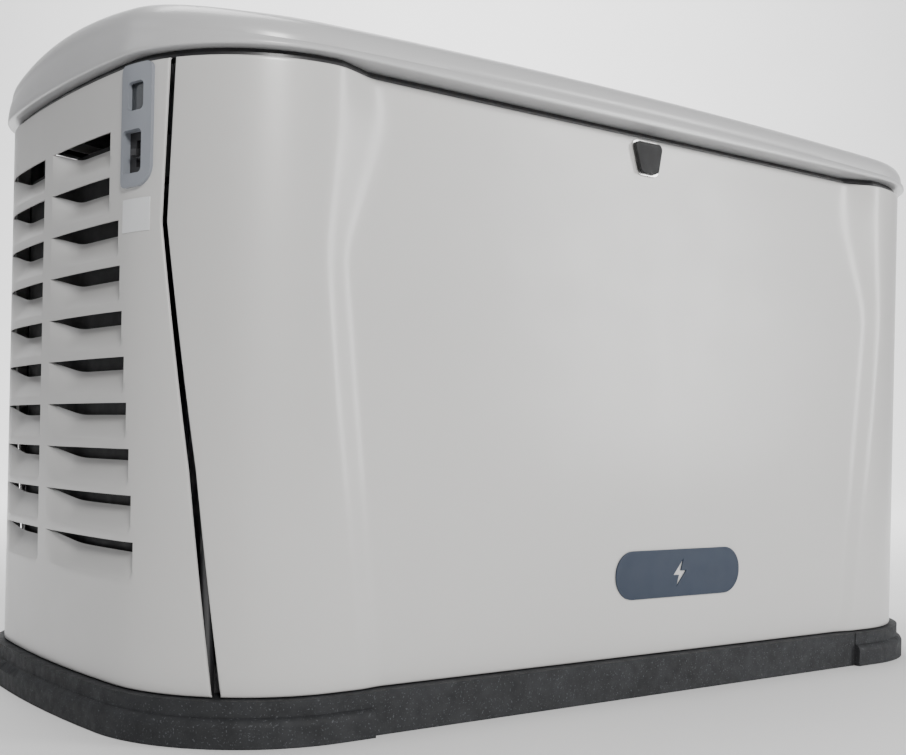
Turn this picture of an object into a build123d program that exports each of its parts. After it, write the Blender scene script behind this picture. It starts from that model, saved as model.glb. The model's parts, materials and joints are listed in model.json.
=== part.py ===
from build123d import *
from math import asin, atan2, cos, degrees, radians, sin, sqrt
import os

# Home standby generator. Millimetres, +Z up, origin on the floor under the centre of the pad.
# +X is the exhaust end, -X the louvred air-intake end, -Y the front.

os.makedirs("parts", exist_ok=True)

# ---------------------------------------------------------------- overall sizes
LENGTH = 1218.0
WIDTH = 638.0
HEIGHT = 732.0
SHEET = 2.0
PLAY = 0.1  # radial running clearance of shafts and pins
GAP = 0.5  # clearance between flat neighbours that move past each other

# ---------------------------------------------------------------- base pad
PAD_H = 43.0
PAD_STEP_Z = 28.0
PAD_STEP_IN = 7.0
PAD_JOG = 8.0
PAD_EDGE_R = 9.0
ANCHOR_R = 5.5
ANCHOR_X = LENGTH / 2 - 139.0
ANCHOR_Y = WIDTH / 2 - 104.0

# ---------------------------------------------------------------- enclosure plan and levels
PAD_OUT = 17.5
HALF_L = LENGTH / 2 - PAD_OUT
HALF_D = WIDTH / 2 - PAD_OUT
CORNER_R = 160.0
END_BOW = 27.0
BOW_R = (HALF_D**2 + END_BOW**2) / (2 * END_BOW)
BOW_X = -HALF_L + BOW_R
CORNER_Y = HALF_D - CORNER_R
CORNER_X = sqrt((BOW_R - CORNER_R) ** 2 - CORNER_Y**2) - BOW_X
PANEL_Z0 = PAD_H + 1.0
PANEL_Z1 = HEIGHT - 87.0
PANEL_H = PANEL_Z1 - PANEL_Z0
LIP_Z = HEIGHT - 79.0
LIP_OUT = 8.0
SEAM_GAP = 5.0
# share of the panel height, share of the half depth
SEAM_LINE = ((0.0, 0.875), (0.353, 0.809), (0.742, 0.710), (1.0, 0.729))
# share of the panel height, end to proud edge, end to recess floor, depth
# the first and last level lie just past the panel's ends
RECESS = ((-0.004, 202.0, 225.0, 5.0), (0.709, 148.0, 177.0, 8.0),
          (0.922, 162.0, 222.0, 14.0), (1.004, 168.0, 210.0, 18.0))
RECESS_REACH = 6.0
FLANGE_W = 28.0
FLANGE_HALF_X = 0.73 * HALF_L
FLOOR_IN = 30.0
FLOOR_T = 3.0
FLOOR_Z = PAD_H + FLOOR_T
RIM_H = 24.0

SEAT = (Align.CENTER, Align.CENTER, Align.MIN)


# ---------------------------------------------------------------- shared shapes
def plan(z, inset):
    """Enclosure plan at height z, moved inward by inset: straight sides, bowed ends."""
    x_mid = HALF_L - inset
    y = HALF_D - inset
    x_end = sqrt((BOW_R - inset) ** 2 - y**2) - BOW_X
    with BuildSketch(Plane.XY.offset(z)) as face:
        with BuildLine():
            Line((-x_end, -y), (x_end, -y))
            ThreePointArc((x_end, -y), (x_mid, 0), (x_end, y))
            Line((x_end, y), (-x_end, y))
            ThreePointArc((-x_end, y), (-x_mid, 0), (-x_end, -y))
        make_face()
        fillet(face.vertices(), radius=CORNER_R - inset)
    return face.sketch


def recess_section(z, proud, floor, depth, shift):
    """One level of the hollow pressed into the front panel, its side walls carried on outward."""
    x_floor = HALF_L - floor
    x_out = HALF_L - proud + (floor - proud) * RECESS_REACH / depth
    y_out = -HALF_D + shift - RECESS_REACH
    y_floor = -HALF_D + shift + depth
    with BuildSketch(Plane.XY.offset(z)) as face:
        Polygon((-x_out, y_out), (x_out, y_out), (x_floor, y_floor), (-x_floor, y_floor), align=None)
    return face.sketch


def recess_hollow(shift):
    """Hourglass hollow of the front panel, moved inward by shift."""
    levels = [(PANEL_Z0 + share * PANEL_H, proud, floor, depth) for share, proud, floor, depth in RECESS]
    with BuildPart() as hollow:
        loft([recess_section(*level, shift) for level in levels], ruled=True)
    return hollow.part


def front_depth(z):
    """Depth of the recess floor behind the proud front plane at height z."""
    share = (z - PANEL_Z0) / PANEL_H
    for low, high in zip(RECESS, RECESS[1:]):
        if share <= high[0]:
            part = (share - low[0]) / (high[0] - low[0])
            return low[3] + part * (high[3] - low[3])
    return RECESS[-1][3]


def seam_y(z):
    """Half depth of the corner seam between front or rear panel and end panel."""
    share = (z - PANEL_Z0) / PANEL_H
    for low, high in zip(SEAM_LINE, SEAM_LINE[1:]):
        if share <= high[0]:
            part = (share - low[0]) / (high[0] - low[0])
            return HALF_D * (low[1] + part * (high[1] - low[1]))
    return HALF_D * SEAM_LINE[-1][1]


def seam_prism(y_from, side, clear):
    """Everything between y_from and the seam on one side, clear of the seam by clear."""
    levels = [PANEL_Z0 + share * PANEL_H for share, _ in SEAM_LINE]
    levels[0] -= 5.0
    levels[-1] += 5.0
    edge = [(side * (seam_y(z) + clear), z) for z in levels]
    with BuildPart() as prism:
        with BuildSketch(Plane.YZ):
            Polygon((y_from, levels[-1]), (y_from, levels[0]), *edge, align=None)
        extrude(amount=LENGTH, both=True)
    return prism.part


def spun(profile, axis_x, axis_y, start, turn, side=-1.0):
    """Revolve points (depth, z) about a vertical axis: depth is measured from the axis."""
    way = radians(start)
    out = (side * cos(way), -sin(way), 0)
    normal = Vector(*out).cross(Vector(0, 0, 1))
    with BuildPart() as ring:
        with BuildSketch(Plane(origin=(axis_x, axis_y, 0), x_dir=out, z_dir=normal)):
            Polygon(*profile, align=None)
        revolve(axis=Axis((axis_x, axis_y, 0), (0, 0, 1)), revolution_arc=turn)
    return ring.part


def save(builder, name):
    """Label one finished sub-part and write its STEP file."""
    builder.part.label = name
    export_step(builder.part, f"parts/{name}.step")


# ================================================================ enclosure
# ---------------------------------------------------------------- base_pad
with BuildPart() as pad:
    extrude(plan(0.0, -PAD_OUT), amount=PAD_STEP_Z)
    fillet(pad.faces().sort_by(Axis.Z)[-1].edges(), radius=PAD_EDGE_R)
    extrude(plan(0.0, -PAD_OUT + PAD_STEP_IN), amount=PAD_H)
    with Locations((0, -WIDTH / 2, 0)):
        Box(1.3 * HALF_L, 2 * PAD_JOG, 3 * PAD_H, mode=Mode.SUBTRACT)
    with GridLocations(2 * ANCHOR_X, 2 * ANCHOR_Y, 2, 2):
        Cylinder(ANCHOR_R, 3 * PAD_H, mode=Mode.SUBTRACT)
save(pad, "base_pad")

# ---------------------------------------------------------------- base_frame
with BuildPart() as base_frame:
    extrude(plan(PAD_H, FLOOR_IN), amount=FLOOR_T + RIM_H)
    extrude(plan(FLOOR_Z, FLOOR_IN + FLOOR_T), amount=RIM_H, mode=Mode.SUBTRACT)
    with GridLocations(2 * ANCHOR_X, 2 * ANCHOR_Y, 2, 2):
        Cylinder(ANCHOR_R, 3 * PAD_H, mode=Mode.SUBTRACT)
save(base_frame, "base_frame")

# ---------------------------------------------------------------- top_rail and lid_seal
RAIL_IN = 4.0
RAIL_W = 16.0
RAIL_T = 3.0
RAIL_Z = PANEL_Z1 + GAP
SEAL_IN = 3.0
SEAL_W = 9.0
SEAL_H = LIP_Z - GAP - RAIL_Z - RAIL_T


def rim_block(z, height, inset):
    """Plan of the enclosure at the panel tops, stepping in behind the front recess."""
    with BuildPart() as block:
        extrude(plan(z, inset), amount=height)
        extrude(recess_section(z, *RECESS[-1][1:], inset), amount=height, mode=Mode.SUBTRACT)
    return block.part


with BuildPart() as top_rail:
    add(rim_block(RAIL_Z, RAIL_T, RAIL_IN))
    add(rim_block(RAIL_Z, RAIL_T, RAIL_IN + RAIL_W), mode=Mode.SUBTRACT)
save(top_rail, "top_rail")

with BuildPart() as lid_seal:
    add(rim_block(RAIL_Z + RAIL_T, SEAL_H, RAIL_IN + SEAL_IN))
    add(rim_block(RAIL_Z + RAIL_T, SEAL_H, RAIL_IN + SEAL_IN + SEAL_W), mode=Mode.SUBTRACT)
save(lid_seal, "lid_seal")

# ---------------------------------------------------------------- corner_posts
POST_R = 8.0
POST_OFF = CORNER_R - RAIL_IN - RAIL_W / 2
POST_X = CORNER_X + POST_OFF * cos(radians(45))
POST_Y = CORNER_Y + POST_OFF * sin(radians(45))

with BuildPart() as corner_posts:
    for side_x in (-1, 1):
        for side_y in (-1, 1):
            with Locations((side_x * POST_X, side_y * POST_Y, PAD_H)):
                Cylinder(POST_R, RAIL_Z - PAD_H, align=SEAT)
save(corner_posts, "corner_posts")

# ---------------------------------------------------------------- front_panel
LOCK_Z = PANEL_Z1 - 24.0
LOCK_R = 9.0

with BuildPart() as front_core:
    extrude(plan(PANEL_Z0 + SHEET, SHEET), amount=PANEL_H - 2 * SHEET)
    add(recess_hollow(SHEET), mode=Mode.SUBTRACT)

with BuildPart() as front_open:
    extrude(plan(PANEL_Z0 - 1.0, SHEET), amount=PANEL_H + 2.0)
    with Locations((0, -HALF_D, PANEL_Z0 - 2.0)):
        Box(2 * FLANGE_HALF_X, 2 * FLANGE_W, PANEL_H + 4.0, align=SEAT, mode=Mode.SUBTRACT)

with BuildPart() as front_panel:
    extrude(plan(PANEL_Z0, 0.0), amount=PANEL_H)
    add(recess_hollow(0.0), mode=Mode.SUBTRACT)
    add(front_core.part, mode=Mode.SUBTRACT)
    add(front_open.part, mode=Mode.SUBTRACT)
    add(seam_prism(-WIDTH, -1, SEAM_GAP / 2), mode=Mode.INTERSECT)
    with Locations((0, -HALF_D, LOCK_Z)):
        Cylinder(LOCK_R + GAP, WIDTH / 4, rotation=(90, 0, 0), mode=Mode.SUBTRACT)
save(front_panel, "front_panel")

# ---------------------------------------------------------------- rear_panel
INLET_X = -110.0
INLET_Z = 150.0
INLET_R = 17.0
CONDUIT_X = 40.0
CONDUIT_Z = 150.0
CONDUIT_R = 22.0

with BuildPart() as rear_panel:
    extrude(plan(PANEL_Z0, 0.0), amount=PANEL_H)
    extrude(plan(PANEL_Z0, SHEET), amount=PANEL_H, mode=Mode.SUBTRACT)
    add(seam_prism(WIDTH, 1, SEAM_GAP / 2), mode=Mode.INTERSECT)
    with Locations((INLET_X, HALF_D, INLET_Z)):
        Cylinder(INLET_R, 20.0, rotation=(90, 0, 0), mode=Mode.SUBTRACT)
    with Locations((CONDUIT_X, HALF_D, CONDUIT_Z)):
        Cylinder(CONDUIT_R, 20.0, rotation=(90, 0, 0), mode=Mode.SUBTRACT)
save(rear_panel, "rear_panel")

# ---------------------------------------------------------------- bezel place on the left front corner arc
BEZEL_Y = 0.594 * HALF_D
BEZEL_W = 46.0
BEZEL_H = 118.0
BEZEL_T = 3.5
BEZEL_Z = PANEL_Z1 - 1.0 - BEZEL_H / 2
BEZEL_TURN = degrees(asin((BEZEL_Y - CORNER_Y) / CORNER_R))
BEZEL_OUT = (-cos(radians(BEZEL_TURN)), -sin(radians(BEZEL_TURN)), 0)
BEZEL_ALONG = (sin(radians(BEZEL_TURN)), -cos(radians(BEZEL_TURN)), 0)
BEZEL_PLACE = Plane(
    origin=(-CORNER_X + CORNER_R * BEZEL_OUT[0], -CORNER_Y + CORNER_R * BEZEL_OUT[1], BEZEL_Z),
    x_dir=BEZEL_ALONG,
    z_dir=BEZEL_OUT,
)
# along, up, width, height
LIGHT_WINDOW = (0.0, 28.0, 24.0, 28.0)
BREAKER_WINDOW = (-5.0, -25.0, 30.0, 42.0)
WINDOW_WALL = 2.5
SLEEVE_DEEP = 14.0

# ---------------------------------------------------------------- left_end_panel and right_end_panel
LOUVRES = 10
LOUVRE_Z1 = PANEL_Z1 - 58.0
LOUVRE_PITCH = 0.0744 * PANEL_H
BAY_H = 0.82 * LOUVRE_PITCH
SLOT_H = 13.0
BAY_DEPTH = 14.0
COLUMN_INNER = 19.0
COLUMN_REAR = 44.0
COLUMN_REAR_END = 0.65 * HALF_D
BESIDE_BEZEL = 128.0


def bay_end(row):
    """Half depth where the front end of a louvre bay stops, following the corner seam."""
    z = LOUVRE_Z1 - row * LOUVRE_PITCH
    if z > BEZEL_Z - 45.0:
        return BESIDE_BEZEL
    return seam_y(z) - 66.0


def bay(y_front, y_rear, wall, profile):
    """One louvre bay body on the bowed end, from y_front to y_rear, widened by wall."""
    start = degrees(asin(-(y_rear + wall) / BOW_R))
    stop = degrees(asin(-(y_front - wall) / BOW_R))
    return spun(profile, BOW_X, 0.0, start, stop - start)


def ramp_profile(top):
    """Sheet ramp of a bay: flush at its foot, deepening up to the slot."""
    slot = top - SLOT_H
    return ((BOW_R, top - BAY_H - 3.0), (BOW_R - BAY_DEPTH - SHEET, slot), (BOW_R, slot))


def air_profile(top):
    """Air space in front of a ramp, with the slot above it through the sheet."""
    slot = top - SLOT_H
    deep = BOW_R - BAY_DEPTH
    return ((BOW_R + 3.0, top - BAY_H), (BOW_R, top - BAY_H), (deep, slot),
            (deep - 8.0, slot), (deep - 8.0, top), (BOW_R + 3.0, top))


def bays(profile_of, wall):
    """All louvre bays of one end, made from one profile."""
    with BuildPart() as group:
        for row in range(LOUVRES):
            profile = profile_of(LOUVRE_Z1 - row * LOUVRE_PITCH)
            add(bay(-bay_end(row), COLUMN_INNER, wall, profile))
            add(bay(COLUMN_REAR, COLUMN_REAR_END, wall, profile))
    return group.part


with BuildPart() as end_core:
    extrude(plan(PANEL_Z0 - 1.0, SHEET), amount=PANEL_H + 2.0)
    add(bays(ramp_profile, SHEET), mode=Mode.SUBTRACT)

with BuildPart() as end_shell:
    extrude(plan(PANEL_Z0, 0.0), amount=PANEL_H)
    add(end_core.part, mode=Mode.SUBTRACT)
    add(bays(air_profile, 0.0), mode=Mode.SUBTRACT)
    add(seam_prism(0.0, -1, -SEAM_GAP / 2) + seam_prism(0.0, 1, -SEAM_GAP / 2), mode=Mode.INTERSECT)
    with Locations((0, 0, PANEL_Z0)):
        Box(LENGTH, 3 * WIDTH, 3 * HEIGHT, align=(Align.MIN, Align.CENTER, Align.CENTER), mode=Mode.SUBTRACT)

with BuildPart() as right_end_panel:
    mirror(end_shell.part, about=Plane.YZ)
save(right_end_panel, "right_end_panel")

with BuildPart() as left_end_panel:
    add(end_shell.part)
    for along, up, wide, high in (LIGHT_WINDOW, BREAKER_WINDOW):
        with BuildSketch(BEZEL_PLACE):
            with Locations((along, up)):
                Rectangle(wide + 2 * WINDOW_WALL, high + 2 * WINDOW_WALL)
        extrude(amount=30.0, both=True, mode=Mode.SUBTRACT)
save(left_end_panel, "left_end_panel")

# ---------------------------------------------------------------- lid
CROWN_ACROSS_R = 1300.0
CROWN_ALONG_R = 13500.0
CROWN_TURN = 6.0
SHOULDER_R = 28.0
LID_FLANGE = 66.0


def crown_body(drop):
    """Everything under the doubly curved top of the lid, lowered by drop."""
    y = HALF_D + 60.0
    top = CROWN_ALONG_R - drop
    edge = top - CROWN_ACROSS_R + sqrt(CROWN_ACROSS_R**2 - y**2)
    low = top - 250.0
    way = radians(CROWN_TURN)
    with BuildPart() as body:
        with BuildSketch(Plane(origin=(0, 0, HEIGHT - CROWN_ALONG_R), x_dir=(0, 1, 0),
                               z_dir=(cos(way), 0, sin(way)))):
            with BuildLine():
                ThreePointArc((-y, edge), (0, top), (y, edge))
                Polyline((y, edge), (y, low), (-y, low), (-y, edge))
            make_face()
        revolve(axis=Axis((0, 0, HEIGHT - CROWN_ALONG_R), (0, 1, 0)), revolution_arc=2 * CROWN_TURN)
    return body.part


def lid_block(z, inset):
    """Solid lid shape from height z up, moved inward by inset."""
    with BuildPart() as block:
        extrude(plan(z, inset - LIP_OUT), amount=150.0)
        add(crown_body(inset), mode=Mode.INTERSECT)
        fillet(block.faces().sort_by(Axis.Z)[-1].edges(), radius=SHOULDER_R - inset)
    return block.part


with BuildPart() as lid:
    add(lid_block(LIP_Z, 0.0))
    add(lid_block(LIP_Z + SHEET, SHEET), mode=Mode.SUBTRACT)
    extrude(plan(LIP_Z - 1.0, LID_FLANGE - LIP_OUT), amount=SHEET + 2.0, mode=Mode.SUBTRACT)
save(lid, "lid")

# ---------------------------------------------------------------- hinges of the lid
HINGE_X = 0.62 * HALF_L
HINGE_LEN = 70.0
KNUCKLE_R = 3.5
PIN_R = 1.75
HINGE_Y = HALF_D + LIP_OUT + KNUCKLE_R + 0.5
HINGE_Z = LIP_Z - 1.0
LEAF_T = 2.0
LEAF_DOWN = 42.0
LEAF_UP = 19.0
KNUCKLE = HINGE_LEN / 5

with BuildPart() as hinge_body_leaves:
    for x in (-HINGE_X, HINGE_X):
        with BuildSketch(Plane.YZ.offset(x)):
            Polygon((HALF_D, HINGE_Z - LEAF_DOWN), (HALF_D + LEAF_T, HINGE_Z - LEAF_DOWN),
                    (HALF_D + LEAF_T, HINGE_Z - 7.0), (HINGE_Y + 1.5, HINGE_Z - 2.0),
                    (HINGE_Y - 1.5, HINGE_Z), (HALF_D, HINGE_Z - 5.5), align=None)
        extrude(amount=HINGE_LEN / 2, both=True)
        for shift in (-KNUCKLE, KNUCKLE):
            with Locations((x + shift, HINGE_Y, HINGE_Z)):
                Cylinder(KNUCKLE_R, KNUCKLE, rotation=(0, 90, 0))
        for shift in (-2 * KNUCKLE, 0.0, 2 * KNUCKLE):
            with Locations((x + shift, HINGE_Y, HINGE_Z)):
                Cylinder(KNUCKLE_R + 0.6, KNUCKLE + 0.6, rotation=(0, 90, 0), mode=Mode.SUBTRACT)
        with Locations((x, HINGE_Y, HINGE_Z)):
            Cylinder(PIN_R, HINGE_LEN, rotation=(0, 90, 0))
save(hinge_body_leaves, "hinge_body_leaves")

with BuildPart() as hinge_lid_leaves:
    for x in (-HINGE_X, HINGE_X):
        for shift in (-2 * KNUCKLE, 0.0, 2 * KNUCKLE):
            with Locations((x + shift, HINGE_Y, HINGE_Z)):
                Cylinder(KNUCKLE_R, KNUCKLE - 0.6, rotation=(0, 90, 0))
            with BuildSketch(Plane.YZ.offset(x + shift)):
                Polygon((HALF_D + LIP_OUT, LIP_Z + 0.5), (HINGE_Y - 1.0, HINGE_Z),
                        (HINGE_Y + 1.0, HINGE_Z + 1.0), (HALF_D + LIP_OUT + LEAF_T, LIP_Z + 4.0),
                        (HALF_D + LIP_OUT + LEAF_T, LIP_Z + LEAF_UP), (HALF_D + LIP_OUT, LIP_Z + LEAF_UP),
                        align=None)
            extrude(amount=KNUCKLE / 2 - 0.3, both=True)
        with Locations((x, HALF_D + LIP_OUT, LIP_Z + 5.0)):
            Box(HINGE_LEN, LEAF_T, LEAF_UP - 5.0, align=(Align.CENTER, Align.MIN, Align.MIN))
        with Locations((x, HINGE_Y, HINGE_Z)):
            Cylinder(PIN_R + PLAY, HINGE_LEN + 2.0, rotation=(0, 90, 0), mode=Mode.SUBTRACT)
save(hinge_lid_leaves, "hinge_lid_leaves")

# ---------------------------------------------------------------- lock in the front panel
LOCK_FACE = -HALF_D + front_depth(LOCK_Z)
RING_T = 2.0
COVER_T = 4.5
COVER_H = 36.0
COVER_TOP_W = 46.0
COVER_LOW_W = 27.0
RING_EDGE = 2.5
LOCK_TILT = degrees(atan2(RECESS[3][3] - RECESS[2][3], (RECESS[3][0] - RECESS[2][0]) * PANEL_H))
LOCK_PLACE = Plane(origin=(0, LOCK_FACE, LOCK_Z), x_dir=(1, 0, 0),
                   z_dir=(0, -cos(radians(LOCK_TILT)), sin(radians(LOCK_TILT))))
PLUG_R = 6.0
CAM_Y = LOCK_FACE + 28.0
CAM_T = 2.5
CAM_LEN = 28.0
CAM_W = 12.0
KEEPER_X = -20.0
KEEPER_DROP = 12.0
FLAP_GAP = 0.2


def shield(edge):
    """Rounded shield outline of the lock cover, grown by edge."""
    top = COVER_TOP_W / 2 + edge
    low = COVER_LOW_W / 2 + edge
    half = COVER_H / 2 + edge
    with BuildSketch(LOCK_PLACE) as face:
        Polygon((-top, half), (top, half), (low, -half), (-low, -half), align=None)
        fillet(face.vertices(), radius=6.0 + edge)
    return face.sketch


with BuildPart() as lock_cover:
    extrude(shield(0.0), amount=RING_T + COVER_T)
    extrude(shield(RING_EDGE), amount=RING_T + FLAP_GAP, mode=Mode.SUBTRACT)
save(lock_cover, "lock_cover")

with BuildPart() as lock_housing:
    extrude(shield(RING_EDGE), amount=RING_T)
    with Locations((0, CAM_Y - GAP, LOCK_Z)):
        Cylinder(LOCK_R, 28.0, rotation=(90, 0, 0), align=SEAT)
    with Locations((0, LOCK_FACE + SHEET + 1.5, LOCK_Z)):
        Cylinder(LOCK_R + 4.0, 5.0, rotation=(-90, 0, 0), align=SEAT)
    with Locations((0, LOCK_FACE, LOCK_Z)):
        Cylinder(PLUG_R + PLAY, 90.0, rotation=(90, 0, 0), mode=Mode.SUBTRACT)
save(lock_housing, "lock_housing")

with BuildPart() as lock_plug:
    with Locations((0, CAM_Y, LOCK_Z)):
        Cylinder(PLUG_R, 27.0, rotation=(90, 0, 0), align=SEAT)
    with Locations((0, CAM_Y - 27.0, LOCK_Z)):
        Box(1.6, 6.0, 7.0, mode=Mode.SUBTRACT)
    with Locations((0, CAM_Y + CAM_T / 2, LOCK_Z + CAM_LEN / 2 - CAM_W / 2)):
        Box(CAM_W, CAM_T, CAM_LEN)
save(lock_plug, "lock_plug")

with BuildPart() as lid_keeper:
    with Locations((KEEPER_X, CAM_Y + CAM_T + 5.0, LIP_Z)):
        Box(12.0, SHEET, LIP_Z - LOCK_Z + KEEPER_DROP, align=(Align.CENTER, Align.MIN, Align.MAX))
    with Locations((KEEPER_X, CAM_Y - 1.0, LOCK_Z - KEEPER_DROP)):
        Box(12.0, CAM_T + 8.0, 2.5, align=(Align.CENTER, Align.MIN, Align.MIN))
save(lid_keeper, "lid_keeper")

# ---------------------------------------------------------------- bezel, breaker and status light
def bezel_block(place, along, up, wide, high, low, top):
    """Box standing on the corner arc at (along, up), from low to top along the outward normal."""
    with BuildPart() as block:
        with Locations(place * Pos(along, up, low)):
            Box(wide, high, top - low, align=SEAT)
    return block.part


BEZEL_SWEEP_R = 20.0
BEZEL_EDGE_R = 7.0
WINDOW_R = 5.0
with BuildPart() as bezel_skin:
    with Locations((-CORNER_X, -CORNER_Y, 0)):
        Cylinder(CORNER_R + BEZEL_T, HEIGHT, align=SEAT)
        Cylinder(CORNER_R, HEIGHT, align=SEAT, mode=Mode.SUBTRACT)

with BuildPart() as inspection_bezel:
    with BuildSketch(BEZEL_PLACE) as bezel_face:
        Rectangle(BEZEL_W, BEZEL_H)
        swept_corner = bezel_face.vertices().group_by(Axis.Y)[0].sort_by(Axis.X)[-1]
        fillet(swept_corner, radius=BEZEL_SWEEP_R)
        fillet(bezel_face.vertices().group_by(Axis.Y)[-1], radius=BEZEL_EDGE_R)
        fillet(bezel_face.vertices().group_by(Axis.Y)[0].sort_by(Axis.X)[0], radius=BEZEL_EDGE_R)
    extrude(amount=12.0, both=True)
    add(bezel_skin.part, mode=Mode.INTERSECT)
    for along, up, wide, high in (LIGHT_WINDOW, BREAKER_WINDOW):
        wall = 2 * WINDOW_WALL - 2 * PLAY
        add(bezel_block(BEZEL_PLACE, along, up, wide + wall, high + wall, -SLEEVE_DEEP, 1.0))
        add(bezel_block(BEZEL_PLACE, along, up, wide, high, -SLEEVE_DEEP - 1.0, -1.0), mode=Mode.SUBTRACT)
        with BuildSketch(BEZEL_PLACE * Pos(along, up, -1.5)):
            RectangleRounded(wide, high, WINDOW_R)
        extrude(amount=12.0, mode=Mode.SUBTRACT)
save(inspection_bezel, "inspection_bezel")

LENS_T = 2.0
with BuildPart() as status_lens:
    add(bezel_block(BEZEL_PLACE, *LIGHT_WINDOW, -2.0 - LENS_T, -2.0))
save(status_lens, "status_lens")

TOGGLE_R = 7.0
TOGGLE_W = 9.0
BREAKER_DEEP = 52.0
TOGGLE_PLACE = BEZEL_PLACE * Pos(BREAKER_WINDOW[0], BREAKER_WINDOW[1], -SLEEVE_DEEP + 1.0)
with BuildPart() as breaker:
    along, up, wide, high = BREAKER_WINDOW
    add(bezel_block(BEZEL_PLACE, along, up, wide, high, -SLEEVE_DEEP + 2.0, -SLEEVE_DEEP + 7.0))
    add(bezel_block(BEZEL_PLACE, along, up, wide, high, -BREAKER_DEEP, -SLEEVE_DEEP + 2.0))
    with Locations(TOGGLE_PLACE):
        Cylinder(TOGGLE_R + 0.3, TOGGLE_W + 1.0, rotation=(0, 90, 0), mode=Mode.SUBTRACT)
    slot = bezel_block(BEZEL_PLACE, along, up, TOGGLE_W + 1.0, 26.0, -SLEEVE_DEEP + 4.0, 0.0)
    add(slot, mode=Mode.SUBTRACT)
save(breaker, "breaker")

with BuildPart() as breaker_toggle:
    with Locations(TOGGLE_PLACE):
        Cylinder(TOGGLE_R, TOGGLE_W, rotation=(0, 90, 0))
        with Locations((0, 0, 6.0)):
            Box(TOGGLE_W - 1.0, 6.0, 15.0)
save(breaker_toggle, "breaker_toggle")

LABEL_Z = PANEL_Z0 + 0.757 * PANEL_H
LABEL_HALF = degrees(21.0 / CORNER_R)
LABEL_START = degrees(asin(CORNER_Y / (BOW_R - CORNER_R))) + 0.5
with BuildPart() as label_plate:
    profile = ((CORNER_R, LABEL_Z - 16.0), (CORNER_R + 0.8, LABEL_Z - 16.0),
               (CORNER_R + 0.8, LABEL_Z + 16.0), (CORNER_R, LABEL_Z + 16.0))
    add(spun(profile, -CORNER_X, -CORNER_Y, LABEL_START, 2 * LABEL_HALF))
save(label_plate, "label_plate")

# ================================================================ power unit on the base frame
SHAFT_Z = FLOOR_Z + 216.0
SHAFT_R = 20.0
CASE_HALF_X = 130.0
CASE_HALF_Y = 130.0
CASE_Z0 = FLOOR_Z + 62.0
VEE = 45.0
DECK = 120.0
BARREL_H = 105.0
HEAD_H = 60.0
COVER_DEEP = 28.0
BANK_X = 22.0
RAIL_HALF_Y = 110.0
RAIL_THICK = 30.0
RAIL_HIGH = 24.0
ISOLATOR_R = 22.0
ALT_R = 115.0
ALT_X0 = -430.0
ALT_X1 = -CASE_HALF_X
AIR_GAP = 1.0
ALONG_X = (0, 90, 0)


def bank_place(side, x, out):
    """Point on a cylinder axis, out from the shaft, with local z along the cylinder."""
    return Location((x, 0, SHAFT_Z), (-side * VEE, 0, 0)) * Pos(0, 0, out)


# ---------------------------------------------------------------- isolators and engine_cradle
ISOLATOR_X = (-400.0, 190.0)
with BuildPart() as isolators:
    for x in ISOLATOR_X:
        for y in (-RAIL_HALF_Y, RAIL_HALF_Y):
            with Locations((x, y, FLOOR_Z)):
                Cylinder(ISOLATOR_R, CASE_Z0 - RAIL_HIGH - FLOOR_Z, align=SEAT)
    fillet(isolators.edges().group_by(Axis.Z)[-1], radius=4.0)
save(isolators, "isolators")

with BuildPart() as engine_cradle:
    for y in (-RAIL_HALF_Y, RAIL_HALF_Y):
        with Locations((-105.0, y, CASE_Z0 - RAIL_HIGH)):
            Box(650.0, RAIL_THICK, RAIL_HIGH, align=SEAT)
    for x in (-415.0, -105.0, 205.0):
        with Locations((x, 0, CASE_Z0 - RAIL_HIGH)):
            Box(30.0, 2 * RAIL_HALF_Y, RAIL_HIGH, align=SEAT)
save(engine_cradle, "engine_cradle")

# ---------------------------------------------------------------- crankcase
CASE_WALL = 10.0
WEB_R = 52.0
CASE_TOP = SHAFT_Z + 135.0
CASE_FLAT = DECK * sqrt(2.0) - 135.0
CASE_SHOULDER = SHAFT_Z + DECK * sqrt(2.0) - CASE_HALF_Y
with BuildPart() as crankcase:
    with BuildSketch(Plane.YZ):
        Polygon((-CASE_HALF_Y, CASE_Z0), (CASE_HALF_Y, CASE_Z0), (CASE_HALF_Y, CASE_SHOULDER),
                (CASE_FLAT, CASE_TOP), (-CASE_FLAT, CASE_TOP), (-CASE_HALF_Y, CASE_SHOULDER), align=None)
    extrude(amount=CASE_HALF_X, both=True)
    fillet(crankcase.edges().filter_by(Axis.Z), radius=14.0)
    with Locations((0, 0, CASE_Z0 + CASE_WALL)):
        Box(2 * (CASE_HALF_X - CASE_WALL), 2 * (CASE_HALF_Y - CASE_WALL),
            CASE_SHOULDER - CASE_Z0 - 2 * CASE_WALL, align=SEAT, mode=Mode.SUBTRACT)
    with Locations((0, 0, SHAFT_Z)):
        Cylinder(WEB_R + 8.0, 2 * (CASE_HALF_X - CASE_WALL), rotation=ALONG_X, mode=Mode.SUBTRACT)
    for side in (-1, 1):
        with Locations((0, side * CASE_HALF_Y, CASE_Z0 + 45.0)):
            with GridLocations(44.0, 1.0, 5, 1):
                Box(6.0, 8.0, 70.0)
    with Locations((0, 0, SHAFT_Z)):
        Cylinder(SHAFT_R + PLAY, 2 * CASE_HALF_X + 20.0, rotation=ALONG_X, mode=Mode.SUBTRACT)
save(crankcase, "crankcase")

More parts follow.
